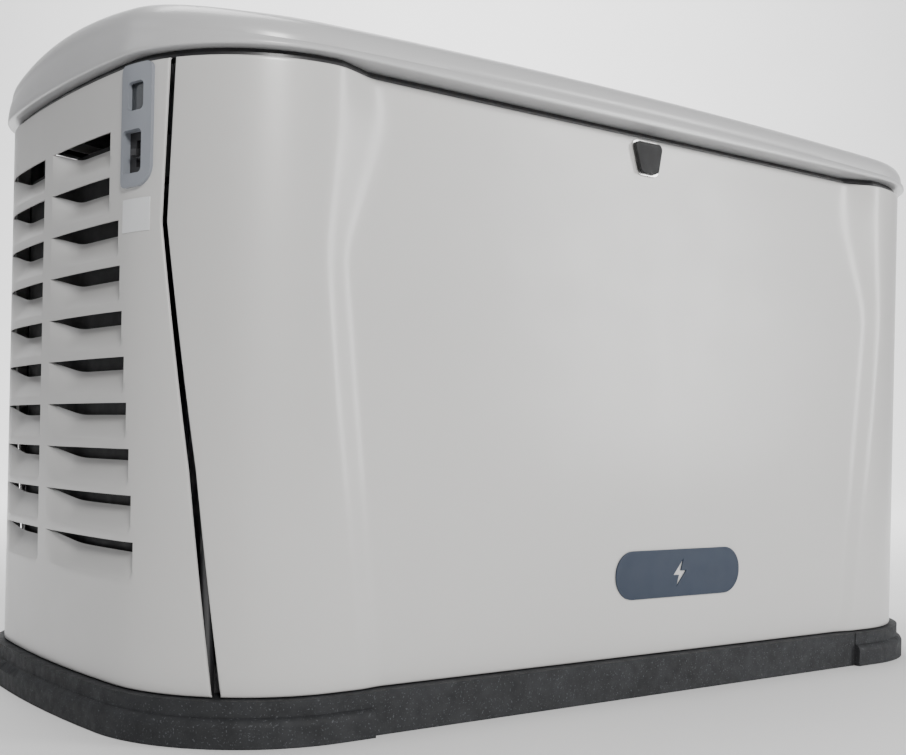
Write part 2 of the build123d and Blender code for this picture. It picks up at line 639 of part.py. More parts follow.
# ---------------------------------------------------------------- cylinders, heads, rocker covers, plugs
BARREL_R = 46.0
FIN_R = 62.0
FIN_T = 3.0
FINS = 8
HEAD_FIN = 122.0
with BuildPart() as cylinders:
    for side in (-1, 1):
        with Locations(bank_place(side, side * BANK_X, DECK)):
            Cylinder(BARREL_R, BARREL_H, align=SEAT)
        for fin in range(FINS):
            with Locations(bank_place(side, side * BANK_X, DECK + 8.0 + fin * 12.0)):
                Cylinder(FIN_R, FIN_T, align=SEAT)
save(cylinders, "cylinders")

with BuildPart() as cylinder_heads:
    for side in (-1, 1):
        with Locations(bank_place(side, side * BANK_X, DECK + BARREL_H)):
            Box(104.0, 104.0, HEAD_H, align=SEAT)
        for fin in range(4):
            with Locations(bank_place(side, side * BANK_X, DECK + BARREL_H + 5.0 + fin * 13.0)):
                Box(HEAD_FIN, HEAD_FIN, FIN_T, align=SEAT)
save(cylinder_heads, "cylinder_heads")

with BuildPart() as rocker_covers:
    for side in (-1, 1):
        with Locations(bank_place(side, side * BANK_X, DECK + BARREL_H + HEAD_H)):
            Box(96.0, 96.0, COVER_DEEP, align=SEAT)
    fillet(rocker_covers.edges().filter_by(lambda e: abs(e.length - COVER_DEEP) < 0.01), radius=18.0)
save(rocker_covers, "rocker_covers")

PLUG_CAP_R = 9.0
with BuildPart() as spark_plugs:
    for side in (-1, 1):
        head_mid = DECK + BARREL_H + HEAD_H / 2 + 2.0
        plug_seat = bank_place(side, side * BANK_X, head_mid) * Location((-HEAD_FIN / 2, 0, 0), (0, -90, 0))
        with Locations(plug_seat):
            Cylinder(PLUG_CAP_R / 2, 44.0, align=SEAT)
            Cylinder(PLUG_CAP_R, 30.0, align=SEAT)
save(spark_plugs, "spark_plugs")

# ---------------------------------------------------------------- crankshaft, flywheel and rotor
FAN_X0 = CASE_HALF_X + 18.0
FAN_R = 110.0
FAN_DEEP = 40.0
ROTOR_R = 74.0
ROTOR_X0 = -388.0
ROTOR_X1 = -190.0
with BuildPart() as crankshaft:
    with Locations((ALT_X0 + 5.0, 0, SHAFT_Z)):
        Cylinder(SHAFT_R, FAN_X0 + FAN_DEEP - ALT_X0, rotation=ALONG_X, align=SEAT)
    for x in (-60.0, 0.0, 60.0):
        with Locations((x - 9.0, 0, SHAFT_Z)):
            Cylinder(WEB_R, 18.0, rotation=ALONG_X, align=SEAT)
save(crankshaft, "crankshaft")

with BuildPart() as flywheel:
    with Locations((FAN_X0, 0, SHAFT_Z)):
        Cylinder(FAN_R, 12.0, rotation=ALONG_X, align=SEAT)
        Cylinder(SHAFT_R + 14.0, FAN_DEEP - 4.0, rotation=ALONG_X, align=SEAT)
    for blade in range(16):
        with Locations(Location((FAN_X0 + 10.0, 0, SHAFT_Z), (blade * 22.5, 0, 0)) * Pos(0, 0, 62.0)):
            Box(FAN_DEEP - 12.0, 4.0, 44.0, align=(Align.MIN, Align.CENTER, Align.MIN))
    with Locations((FAN_X0 - 1.0, 0, SHAFT_Z)):
        Cylinder(SHAFT_R, FAN_DEEP + 2.0, rotation=ALONG_X, align=SEAT, mode=Mode.SUBTRACT)
save(flywheel, "flywheel")

with BuildPart() as rotor:
    with Locations((ROTOR_X0, 0, SHAFT_Z)):
        Cylinder(ROTOR_R, ROTOR_X1 - ROTOR_X0, rotation=ALONG_X, align=SEAT)
    with Locations((ROTOR_X1, 0, SHAFT_Z)):
        Cylinder(SHAFT_R + 12.0, 22.0, rotation=ALONG_X, align=SEAT)
    for blade in range(12):
        with Locations(Location((ROTOR_X1 + 2.0, 0, SHAFT_Z), (blade * 30.0, 0, 0)) * Pos(0, 0, 26.0)):
            Box(20.0, 4.0, 60.0, align=(Align.MIN, Align.CENTER, Align.MIN))
    with Locations((ROTOR_X0 - 1.0, 0, SHAFT_Z)):
        Cylinder(SHAFT_R, 400.0, rotation=ALONG_X, align=SEAT, mode=Mode.SUBTRACT)
save(rotor, "rotor")

# ---------------------------------------------------------------- blower_housing and starter_motor
BLOWER_R = FAN_R + 18.0
BLOWER_DEEP = 78.0
BLOWER_X1 = CASE_HALF_X + BLOWER_DEEP
GRILLE_R = 80.0
with BuildPart() as blower_housing:
    with Locations((CASE_HALF_X, 0, SHAFT_Z)):
        Cylinder(BLOWER_R, BLOWER_DEEP, rotation=ALONG_X, align=SEAT)
    fillet(blower_housing.faces().sort_by(Axis.X)[-1].edges(), radius=6.0)
    with Locations((CASE_HALF_X, 0, SHAFT_Z)):
        Cylinder(BLOWER_R - 3.0, BLOWER_DEEP - 3.0, rotation=ALONG_X, align=SEAT, mode=Mode.SUBTRACT)
        Cylinder(GRILLE_R, BLOWER_DEEP + 1.0, rotation=ALONG_X, align=SEAT, mode=Mode.SUBTRACT)
    for radius in (60.0, 42.0, 24.0):
        with Locations((BLOWER_X1 - 3.0, 0, SHAFT_Z)):
            Cylinder(radius, 3.0, rotation=ALONG_X, align=SEAT)
            Cylinder(radius - 4.0, 3.0, rotation=ALONG_X, align=SEAT, mode=Mode.SUBTRACT)
    for spoke in (0.0, 60.0, 120.0):
        with Locations(Location((BLOWER_X1 - 3.0, 0, SHAFT_Z), (spoke, 0, 0))):
            Box(3.0, 6.0, 2 * GRILLE_R + 6.0, align=(Align.MIN, Align.CENTER, Align.CENTER))
save(blower_housing, "blower_housing")

STARTER_R = 36.0
STARTER_Y = CASE_HALF_Y + STARTER_R + 10.0
STARTER_Z = SHAFT_Z - 70.0
with BuildPart() as starter_motor:
    with Locations((-60.0, STARTER_Y, STARTER_Z)):
        Cylinder(STARTER_R, 150.0, rotation=ALONG_X, align=SEAT)
        Cylinder(STARTER_R - 10.0, 172.0, rotation=ALONG_X, align=SEAT)
    with Locations((-30.0, STARTER_Y, STARTER_Z + STARTER_R + 14.0)):
        Cylinder(18.0, 90.0, rotation=ALONG_X, align=SEAT)
    with Locations((15.0, CASE_HALF_Y, CASE_Z0 + 84.0)):
        Box(60.0, STARTER_Y - CASE_HALF_Y, 26.0, align=(Align.CENTER, Align.MIN, Align.MIN))
    with Locations((0, 0, SHAFT_Z)):
        Box(3 * CASE_HALF_X, 2 * CASE_HALF_Y, HEIGHT, mode=Mode.SUBTRACT)
    with Locations(bank_place(1, BANK_X, DECK)):
        Cylinder(FIN_R + 2.0, 2 * BARREL_H, align=SEAT, mode=Mode.SUBTRACT)
save(starter_motor, "starter_motor")

# ---------------------------------------------------------------- alternator
CAN_WALL = 6.0
CORE_R = ROTOR_R + AIR_GAP
with BuildPart() as alternator_can:
    with Locations((ALT_X0, 0, SHAFT_Z)):
        Cylinder(ALT_R, ALT_X1 - ALT_X0, rotation=ALONG_X, align=SEAT)
        Cylinder(SHAFT_R + 10.0, ALT_X1 - ALT_X0 + 1.0, rotation=ALONG_X, align=SEAT, mode=Mode.SUBTRACT)
    with Locations((ALT_X0 + CAN_WALL, 0, SHAFT_Z)):
        Cylinder(ALT_R - CAN_WALL, ALT_X1 - ALT_X0 - CAN_WALL, rotation=ALONG_X, align=SEAT,
                 mode=Mode.SUBTRACT)
    for vent in range(12):
        for x in (ALT_X0 + 20.0, ALT_X1 - 34.0):
            with Locations(Location((x, 0, SHAFT_Z), (vent * 30.0 + 15.0, 0, 0)) * Pos(0, 0, ALT_R)):
                Box(36.0, 26.0, 30.0, mode=Mode.SUBTRACT)
    with Locations((ALT_X0 + 15.0, 0, CASE_Z0)):
        Box(30.0, 2 * RAIL_HALF_Y, SHAFT_Z - ALT_R - CASE_Z0 + 12.0, align=SEAT)
    with Locations((ALT_X0 + CAN_WALL, 0, SHAFT_Z)):
        Cylinder(ALT_R - CAN_WALL, ALT_X1 - ALT_X0 - CAN_WALL, rotation=ALONG_X, align=SEAT,
                 mode=Mode.SUBTRACT)
    with Locations((ALT_X0, 0, SHAFT_Z)):
        Cylinder(SHAFT_R + 12.0, 18.0, rotation=ALONG_X, align=SEAT)
    with Locations((ALT_X0 + 4.0, 0, SHAFT_Z)):
        Cylinder(SHAFT_R + PLAY, 20.0, rotation=ALONG_X, align=SEAT, mode=Mode.SUBTRACT)
save(alternator_can, "alternator_can")

with BuildPart() as stator_core:
    with Locations((ROTOR_X0 + 4.0, 0, SHAFT_Z)):
        Cylinder(ALT_R - CAN_WALL, ROTOR_X1 - ROTOR_X0 - 12.0, rotation=ALONG_X, align=SEAT)
        Cylinder(CORE_R, ROTOR_X1 - ROTOR_X0, rotation=ALONG_X, align=SEAT, mode=Mode.SUBTRACT)
save(stator_core, "stator_core")

# ---------------------------------------------------------------- oil filter, dipstick and its tube
FILTER_X = -70.0
FILTER_Z = CASE_Z0 + 55.0
with BuildPart() as oil_filter:
    with Locations((FILTER_X, -CASE_HALF_Y - 4.0, FILTER_Z)):
        Cylinder(18.0, 8.0, rotation=(90, 0, 0), align=SEAT)
    with Locations((FILTER_X, -CASE_HALF_Y - 8.0, FILTER_Z)):
        Cylinder(36.0, 74.0, rotation=(90, 0, 0), align=SEAT)
    fillet(oil_filter.faces().sort_by(Axis.Y)[0].edges(), radius=8.0)
save(oil_filter, "oil_filter")

STICK_X = 76.0
STICK_Y = -CASE_HALF_Y - 14.0
STICK_R = 2.5
TUBE_R = 7.0
TUBE_Z0 = CASE_Z0 + 30.0
TUBE_Z1 = SHAFT_Z + 175.0
with BuildPart() as dipstick_tube:
    with Locations((STICK_X, STICK_Y, TUBE_Z0)):
        Cylinder(TUBE_R, TUBE_Z1 - TUBE_Z0, align=SEAT)
    for z in (TUBE_Z0 + 8.0, TUBE_Z0 + 90.0):
        with Locations((STICK_X, -CASE_HALF_Y - 4.0, z)):
            Box(16.0, 22.0, 16.0, align=(Align.CENTER, Align.MAX, Align.MIN))
            Box(16.0, 4.0, 16.0, align=(Align.CENTER, Align.MIN, Align.MIN))
    with Locations((STICK_X, STICK_Y, TUBE_Z0 + 6.0)):
        Cylinder(STICK_R + 1.5, TUBE_Z1, align=SEAT, mode=Mode.SUBTRACT)
save(dipstick_tube, "dipstick_tube")

STICK_PULL = 160.0
with BuildPart() as dipstick:
    with Locations((STICK_X, STICK_Y, TUBE_Z1 - STICK_PULL - 20.0)):
        Cylinder(STICK_R, STICK_PULL + 24.0, align=SEAT)
    with Locations((STICK_X, STICK_Y, TUBE_Z1 + GAP)):
        Cylinder(TUBE_R + 3.0, 8.0, align=SEAT)
    with Locations((STICK_X, STICK_Y, TUBE_Z1 + 20.0)):
        Cylinder(14.0, 6.0, rotation=(90, 0, 0))
        Cylinder(8.0, 6.0, rotation=(90, 0, 0), mode=Mode.SUBTRACT)
save(dipstick, "dipstick")

# ---------------------------------------------------------------- mixer, air box, cover and filter
AIR_Z = SHAFT_Z + 262.0
AIR_X = 236.0
AIR_Y = 250.0
AIR_H = 62.0
AIR_WALL = 3.0
LID_PLATE_H = 26.0
MIXER_R = 24.0
with BuildPart() as mixer:
    with Locations((0, 0, CASE_TOP)):
        Cylinder(MIXER_R + 12.0, 8.0, align=SEAT)
        Cylinder(MIXER_R, AIR_Z - CASE_TOP, align=SEAT)
    with Locations((0, 0, CASE_TOP + 46.0)):
        Box(58.0, 52.0, 44.0, align=SEAT)
    with Locations((0, 0, SHAFT_Z + 232.0)):
        Box(38.0, 340.0, 24.0)
    for side in (-1, 1):
        with Locations(bank_place(side, side * BANK_X, DECK - 20.0)):
            Box(HEAD_FIN, HEAD_FIN, 2 * BARREL_H, align=SEAT, mode=Mode.SUBTRACT)
save(mixer, "mixer")

with BuildPart() as air_box:
    with Locations((0, 0, AIR_Z)):
        Box(AIR_X, AIR_Y, AIR_H, align=SEAT)
    fillet(air_box.edges().filter_by(Axis.Z), radius=24.0)
    chamfer(air_box.faces().sort_by(Axis.Z)[0].edges(), length=6.0)
    offset(amount=-AIR_WALL, openings=air_box.faces().sort_by(Axis.Z)[-1:])
    with Locations((0, 0, AIR_Z - 1.0)):
        Cylinder(MIXER_R - 4.0, AIR_WALL + 2.0, align=SEAT, mode=Mode.SUBTRACT)
save(air_box, "air_box")

with BuildPart() as air_filter:
    with Locations((0, 0, AIR_Z + AIR_H - 34.0)):
        Box(AIR_X - 4 * AIR_WALL, AIR_Y - 4 * AIR_WALL, 24.0, align=SEAT)
    fillet(air_filter.edges().filter_by(Axis.Z), radius=18.0)
    with Locations((0, 0, AIR_Z + AIR_H - 34.0)):
        with GridLocations(12.0, 1.0, 16, 1):
            Box(5.0, AIR_Y - 40.0, 15.0, align=SEAT, mode=Mode.SUBTRACT)
    with Locations((0, 0, AIR_Z + AIR_WALL)):
        with GridLocations(AIR_X - 60.0, AIR_Y - 60.0, 2, 2):
            Box(8.0, 8.0, AIR_H - 34.0 - AIR_WALL, align=SEAT)
save(air_filter, "air_filter")

COVER_Z = AIR_Z + AIR_H + GAP
with BuildPart() as air_box_cover:
    with Locations((0, 0, COVER_Z)):
        Box(AIR_X + 8.0, AIR_Y + 8.0, LID_PLATE_H, align=SEAT)
    fillet(air_box_cover.edges().filter_by(Axis.Z), radius=28.0)
    fillet(air_box_cover.faces().sort_by(Axis.Z)[-1].edges(), radius=10.0)
    offset(amount=-AIR_WALL, openings=air_box_cover.faces().sort_by(Axis.Z)[:1])
    with Locations((0, 0, COVER_Z + LID_PLATE_H)):
        with GridLocations(52.0, 1.0, 4, 1):
            Box(10.0, AIR_Y - 80.0, 3.0, align=SEAT)
save(air_box_cover, "air_box_cover")

# ---------------------------------------------------------------- fuel inlet, regulator and hose
FITTING_OUT = 13.0
FITTING_IN = 20.0
FUEL_BORE_R = 12.0
FUEL_BORE_DEEP = 20.0
HOSE_R = 9.0
TO_REAR = (-90, 0, 0)
with BuildPart() as fuel_inlet:
    with Locations((INLET_X, HALF_D - FITTING_IN, INLET_Z)):
        Cylinder(INLET_R - 0.2, FITTING_IN + FITTING_OUT, rotation=TO_REAR, align=SEAT)
    with BuildSketch(Plane.XZ.offset(-HALF_D)):
        with Locations((INLET_X, INLET_Z)):
            RegularPolygon(INLET_R + 4.0, 6)
    extrude(amount=-8.0)
    with Locations((INLET_X, HALF_D + FITTING_OUT - FUEL_BORE_DEEP, INLET_Z)):
        Cylinder(FUEL_BORE_R, FUEL_BORE_DEEP + 1.0, rotation=TO_REAR, align=SEAT, mode=Mode.SUBTRACT)
save(fuel_inlet, "fuel_inlet")

REG_Y0 = CASE_HALF_Y + 85.0
REG_Y1 = HALF_D - FITTING_IN - 7.0
REG_TOP = INLET_Z + 45.0
with BuildPart() as fuel_regulator:
    with Locations((INLET_X, (REG_Y0 + REG_Y1) / 2, FLOOR_Z)):
        Box(50.0, 26.0, INLET_Z - 45.0 - FLOOR_Z, align=SEAT)
    with Locations((INLET_X, (REG_Y0 + REG_Y1) / 2, INLET_Z)):
        Box(84.0, REG_Y1 - REG_Y0, 90.0)
    fillet(fuel_regulator.edges().filter_by(Axis.Y), radius=6.0)
    with Locations((INLET_X, REG_Y1, INLET_Z)):
        Cylinder(FUEL_BORE_R, 7.0, rotation=TO_REAR, align=SEAT)
    with Locations((INLET_X, REG_Y0, INLET_Z)):
        Cylinder(32.0, 6.0, rotation=(90, 0, 0), align=SEAT)
save(fuel_regulator, "fuel_regulator")

HOSE_Y = (REG_Y0 + REG_Y1) / 2
HOSE_Z = CASE_TOP + 70.0
HOSE_BEND = 34.0
with BuildPart() as fuel_hose:
    with BuildLine():
        Line((INLET_X, HOSE_Y, REG_TOP), (INLET_X, HOSE_Y, HOSE_Z - HOSE_BEND))
        TangentArc((INLET_X, HOSE_Y, HOSE_Z - HOSE_BEND), (INLET_X, HOSE_Y - HOSE_BEND, HOSE_Z),
                   tangent=(0, 0, 1))
        Line((INLET_X, HOSE_Y - HOSE_BEND, HOSE_Z), (INLET_X, HOSE_BEND, HOSE_Z))
        TangentArc((INLET_X, HOSE_BEND, HOSE_Z), (INLET_X + HOSE_BEND, 0, HOSE_Z), tangent=(0, -1, 0))
        Line((INLET_X + HOSE_BEND, 0, HOSE_Z), (-29.0, 0, HOSE_Z))
    with BuildSketch(Plane.XY.offset(REG_TOP)):
        with Locations((INLET_X, HOSE_Y)):
            Circle(HOSE_R)
    sweep()
save(fuel_hose, "fuel_hose")

# ---------------------------------------------------------------- conduit_entry and rear screws
CONDUIT_BORE_R = 17.5
CONDUIT_OUT = 10.0
CONDUIT_IN = 18.0
with BuildPart() as conduit_entry:
    with Locations((CONDUIT_X, HALF_D - CONDUIT_IN, CONDUIT_Z)):
        Cylinder(CONDUIT_R - 0.2, CONDUIT_IN + CONDUIT_OUT, rotation=TO_REAR, align=SEAT)
    with Locations((CONDUIT_X, HALF_D, CONDUIT_Z)):
        Cylinder(CONDUIT_R + 6.0, 5.0, rotation=TO_REAR, align=SEAT)
    with Locations((CONDUIT_X, HALF_D, CONDUIT_Z)):
        Cylinder(CONDUIT_BORE_R, 90.0, rotation=(90, 0, 0), mode=Mode.SUBTRACT)
save(conduit_entry, "conduit_entry")

SCREW_R = 6.0
with BuildPart() as panel_screws:
    for z in (PANEL_Z0 + 18.0, PANEL_Z0 + 0.5 * PANEL_H, PANEL_Z1 - 70.0):
        for x in (-0.66 * HALF_L, 0.66 * HALF_L):
            with Locations((x, HALF_D, z)):
                Cylinder(SCREW_R, 3.5, rotation=TO_REAR, align=SEAT)
    fillet(panel_screws.edges().group_by(Axis.Y)[-1], radius=1.5)
save(panel_screws, "panel_screws")

# ---------------------------------------------------------------- bulkheads
BAFFLE_X = -0.854 * HALF_L
DIVIDER_X = 0.51 * HALF_L
BULK_H = 0.9 * PANEL_H
PIPE_R = 19.0
PORT_OUT = DECK + BARREL_H + HEAD_H / 2
PORT_Y = PORT_OUT * sin(radians(VEE))
PORT_Z = SHAFT_Z + PORT_OUT * cos(radians(VEE))
with BuildPart() as bulkheads:
    with Locations((BAFFLE_X, 0, FLOOR_Z)):
        Box(SHEET, 0.97 * HALF_D, BULK_H, align=SEAT)
    with Locations((DIVIDER_X, 0, FLOOR_Z)):
        Box(SHEET, 2 * (HALF_D - FLOOR_IN - 2 * FLOOR_T), BULK_H, align=SEAT)
    for side in (-1, 1):
        with Locations((DIVIDER_X, side * PORT_Y, PORT_Z)):
            Cylinder(PIPE_R + 8.0, 20.0, rotation=ALONG_X, mode=Mode.SUBTRACT)
    with Locations((BAFFLE_X, 0, SHAFT_Z)):
        Cylinder(90.0, 20.0, rotation=ALONG_X, mode=Mode.SUBTRACT)
save(bulkheads, "bulkheads")

# ---------------------------------------------------------------- exhaust_pipes and muffler
MUFFLER_X = 0.744 * HALF_L
MUFFLER_Z = FLOOR_Z + 154.0
MUFFLER_R = 70.0
MUFFLER_L = 450.0
with BuildPart() as muffler:
    with Locations((MUFFLER_X, 0, MUFFLER_Z)):
        Cylinder(MUFFLER_R, MUFFLER_L, rotation=(90, 0, 0))
    fillet(muffler.edges(), radius=14.0)
    for y in (-0.3 * MUFFLER_L, 0.3 * MUFFLER_L):
        with Locations((MUFFLER_X, y, FLOOR_Z)):
            Box(90.0, 16.0, MUFFLER_Z - FLOOR_Z - 50.0, align=SEAT)
            Box(120.0, 40.0, 4.0, align=SEAT)
    with Locations((MUFFLER_X, 0, MUFFLER_Z)):
        Cylinder(PIPE_R + 4.0, 122.0, rotation=ALONG_X, align=SEAT)
        Cylinder(PIPE_R, 123.0, rotation=ALONG_X, align=SEAT, mode=Mode.SUBTRACT)
save(muffler, "muffler")

with BuildPart() as exhaust_pipes:
    for side in (-1, 1):
        start = side * BANK_X + HEAD_FIN / 2
        with BuildLine() as pipe_path:
            Polyline((start, side * PORT_Y, PORT_Z), (MUFFLER_X, side * PORT_Y, PORT_Z),
                     (MUFFLER_X, side * PORT_Y, MUFFLER_Z + MUFFLER_R - 6.0))
            fillet(pipe_path.vertices().sort_by(Axis.X)[1:].sort_by(Axis.Z)[-1:], radius=50.0)
        with BuildSketch(Plane.YZ.offset(start)):
            with Locations((side * PORT_Y, PORT_Z)):
                Circle(PIPE_R)
        sweep()
    with Locations((MUFFLER_X, 0, MUFFLER_Z)):
        Cylinder(MUFFLER_R, MUFFLER_L, rotation=(90, 0, 0), mode=Mode.SUBTRACT)
save(exhaust_pipes, "exhaust_pipes")

# ---------------------------------------------------------------- battery and battery_strap
BATTERY_X = -0.535 * HALF_L
BATTERY_L = 197.0
BATTERY_W = 130.0
BATTERY_H = 160.0
BATTERY_Y = -RAIL_HALF_Y - ISOLATOR_R - 3.0 - BATTERY_W / 2
with BuildPart() as battery:
    with Locations((BATTERY_X, BATTERY_Y, FLOOR_Z)):
        Box(BATTERY_L, BATTERY_W, BATTERY_H, align=SEAT)
    fillet(battery.edges().filter_by(Axis.Z), radius=5.0)
    with Locations((BATTERY_X, BATTERY_Y, FLOOR_Z + BATTERY_H)):
        Box(BATTERY_L - 4.0, BATTERY_W - 4.0, 16.0, align=SEAT)
    for side in (-1, 1):
        post_x = BATTERY_X + side * (BATTERY_L / 2 - 22.0)
        with Locations((post_x, BATTERY_Y - 40.0, FLOOR_Z + BATTERY_H + 16.0)):
            Cylinder(7.5, 12.0, align=SEAT)
save(battery, "battery")

STRAP_W = 24.0
with BuildPart() as battery_strap:
    with Locations((BATTERY_X, BATTERY_Y, FLOOR_Z)):
        Box(STRAP_W, BATTERY_W + 4.0, BATTERY_H + 18.0, align=SEAT)
        Box(STRAP_W, BATTERY_W, BATTERY_H + 16.0, align=SEAT, mode=Mode.SUBTRACT)
save(battery_strap, "battery_strap")

# ---------------------------------------------------------------- control_box, display and keys
CONTROL_X = BATTERY_X + 4.0
CONTROL_Y = -0.7 * HALF_D
CONTROL_L = 225.0
CONTROL_W = 96.0
CONTROL_Z0 = PANEL_Z1 - 195.0
CONTROL_Z1 = PANEL_Z1 - 45.0
LEG_T = 3.0
KEY_LIFT = 3.0
KEY_DEEP = 9.0
KEY_TRAVEL = 1.5
KEY_SIDE = 0.4
# along X, along Y from the box centre, width, depth
KEYS = {"key_auto": (20.0, -28.0, 20.0, 13.0), "key_off": (48.0, -28.0, 20.0, 13.0),
        "key_manual": (76.0, -28.0, 20.0, 13.0), "key_page": (32.0, 12.0, 16.0, 16.0),
        "key_enter": (66.0, 12.0, 16.0, 16.0)}
DISPLAY = (-50.0, 2.0, 96.0, 52.0)

with BuildPart() as control_box:
    with Locations((CONTROL_X, CONTROL_Y, CONTROL_Z0)):
        Box(CONTROL_L, CONTROL_W, CONTROL_Z1 - CONTROL_Z0, align=SEAT)
    fillet(control_box.edges().filter_by(Axis.Z), radius=8.0)
    fillet(control_box.faces().sort_by(Axis.Z)[-1].edges(), radius=3.0)
    for side in (-1, 1):
        with Locations((CONTROL_X + side * (CONTROL_L / 2 - LEG_T / 2), CONTROL_Y + 14.0, FLOOR_Z)):
            Box(LEG_T, 24.0, CONTROL_Z0 + 20.0 - FLOOR_Z, align=SEAT)
    for x, y, wide, deep in KEYS.values():
        with Locations((CONTROL_X + x, CONTROL_Y + y, CONTROL_Z1)):
            Box(wide + 2 * KEY_SIDE, deep + 2 * KEY_SIDE, 2 * (KEY_DEEP + KEY_TRAVEL + GAP),
                mode=Mode.SUBTRACT)
    with Locations((CONTROL_X + DISPLAY[0], CONTROL_Y + DISPLAY[1], CONTROL_Z1)):
        Box(DISPLAY[2], DISPLAY[3], 4.0, mode=Mode.SUBTRACT)
save(control_box, "control_box")

with BuildPart() as control_display:
    with Locations((CONTROL_X + DISPLAY[0], CONTROL_Y + DISPLAY[1], CONTROL_Z1 - 2.0)):
        Box(DISPLAY[2], DISPLAY[3], 1.5, align=SEAT)
save(control_display, "control_display")

for name, (x, y, wide, deep) in KEYS.items():
    with BuildPart() as key:
        with Locations((CONTROL_X + x, CONTROL_Y + y, CONTROL_Z1 - KEY_DEEP)):
            Box(wide, deep, KEY_DEEP + KEY_LIFT, align=SEAT)
        fillet(key.edges().filter_by(Axis.Z), radius=2.0)
        fillet(key.faces().sort_by(Axis.Z)[-1].edges(), radius=1.0)
    save(key, name)

# ---------------------------------------------------------------- badge
BADGE_X = 0.1 * HALF_L
BADGE_Z = PANEL_Z0 + 0.155 * PANEL_H
BADGE_W = 210.0
BADGE_H = 56.0
BADGE_T = 1.5
BADGE_Y = -HALF_D + front_depth(BADGE_Z - BADGE_H / 2)
with BuildPart() as badge:
    with BuildSketch(Plane.XZ.offset(-BADGE_Y)):
        with Locations((BADGE_X, BADGE_Z)):
            RectangleRounded(BADGE_W, BADGE_H, BADGE_H / 2 - 1.0)
        with Locations((BADGE_X, BADGE_Z)):
            Polygon((6.0, 17.0), (-11.0, -2.5), (-1.5, -2.5), (-6.0, -17.0), (11.0, 2.5), (1.5, 2.5),
                    align=None, mode=Mode.SUBTRACT)
    extrude(amount=BADGE_T)
save(badge, "badge")
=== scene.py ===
import json
import math

import bmesh
import bpy
import numpy as np
from mathutils import Matrix, Vector


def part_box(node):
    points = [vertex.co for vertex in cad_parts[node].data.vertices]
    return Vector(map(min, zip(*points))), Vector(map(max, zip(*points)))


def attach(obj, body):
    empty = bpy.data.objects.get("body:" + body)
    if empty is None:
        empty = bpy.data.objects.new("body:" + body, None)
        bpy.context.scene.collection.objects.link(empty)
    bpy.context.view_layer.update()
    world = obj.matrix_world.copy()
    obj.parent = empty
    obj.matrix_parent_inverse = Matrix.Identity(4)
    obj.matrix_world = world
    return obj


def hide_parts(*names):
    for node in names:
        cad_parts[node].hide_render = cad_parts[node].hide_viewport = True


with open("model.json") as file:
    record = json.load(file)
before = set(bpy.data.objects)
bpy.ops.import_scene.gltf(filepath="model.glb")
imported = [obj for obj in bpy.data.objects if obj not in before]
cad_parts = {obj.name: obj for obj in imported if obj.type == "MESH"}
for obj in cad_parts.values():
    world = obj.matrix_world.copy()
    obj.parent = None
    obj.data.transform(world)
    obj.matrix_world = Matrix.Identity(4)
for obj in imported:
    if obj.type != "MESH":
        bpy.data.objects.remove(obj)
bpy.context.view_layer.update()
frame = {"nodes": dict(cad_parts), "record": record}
NODES = frame["nodes"]

# ---------------------------------------------------------------- sizes read from the frame, metres
LID_LO, LID_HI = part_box("lid")
PANEL_LO, PANEL_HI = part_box("front_panel")
BEZEL_LO, BEZEL_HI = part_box("inspection_bezel")
LIP_OUT = 0.008
HALF_L = LID_HI.x - LIP_OUT
HALF_D = LID_HI.y - LIP_OUT
Z0 = PANEL_LO.z
Z1 = PANEL_HI.z
PANEL_H = Z1 - Z0
LIP_Z = LID_LO.z
CROWN_Z = LID_HI.z
CORNER_R = 0.160
END_BOW = 0.027
BOW_R = (HALF_D**2 + END_BOW**2) / (2 * END_BOW)
CORNER_Y = HALF_D - CORNER_R
BOW_X = BOW_R - HALF_L
CORNER_X = math.sqrt((BOW_R - CORNER_R) ** 2 - CORNER_Y**2) - BOW_X
SHEET = 0.0018
PRESS_ROUND = 0.010
FLOOR_ROUND = 0.004
WALL_SHARP = 9.0
SEAM_GAP = 0.0055
SEAM_LINE = ((0.0, 0.875), (0.353, 0.809), (0.742, 0.710), (1.0, 0.729))
RECESS = ((-0.004, 0.202, 0.225, 0.005), (0.709, 0.148, 0.177, 0.008),
          (0.922, 0.162, 0.222, 0.014), (1.004, 0.168, 0.210, 0.018))


# ---------------------------------------------------------------- plan outline by arc length
def outline(steps=900):
    """Loop from the rear middle towards -X and round: arrays of arc length, x, y, outward normal."""
    turn = math.asin(CORNER_Y / (BOW_R - CORNER_R))
    pts = []
    xs = np.linspace(0.0, -CORNER_X, steps, endpoint=False)
    pts.append(np.stack([xs, np.full(steps, HALF_D), np.zeros(steps), np.ones(steps)], 1))
    ang = np.linspace(math.pi / 2, math.pi - turn, steps, endpoint=False)
    pts.append(np.stack([-CORNER_X + CORNER_R * np.cos(ang), CORNER_Y + CORNER_R * np.sin(ang),
                         np.cos(ang), np.sin(ang)], 1))
    ang = np.linspace(math.pi - turn, math.pi, steps)
    pts.append(np.stack([BOW_X + BOW_R * np.cos(ang), BOW_R * np.sin(ang), np.cos(ang), np.sin(ang)], 1))
    quarter = np.concatenate(pts)
    front = quarter[::-1][1:] * np.array([1, -1, 1, -1])
    half = np.concatenate([quarter, front])
    other = half[::-1][1:] * np.array([-1, 1, -1, 1])
    loop = np.concatenate([half, other])
    step = np.hypot(np.diff(loop[:, 0]), np.diff(loop[:, 1]))
    length = np.concatenate([[0.0], np.cumsum(step)])
    return length, loop, len(half)


ARC, LOOP, HALF_COUNT = outline()
ROUND = ARC[-1]


def along(s):
    """x, y and outward normal at arc length s."""
    return [np.interp(s, ARC, LOOP[:, i]) for i in range(4)]


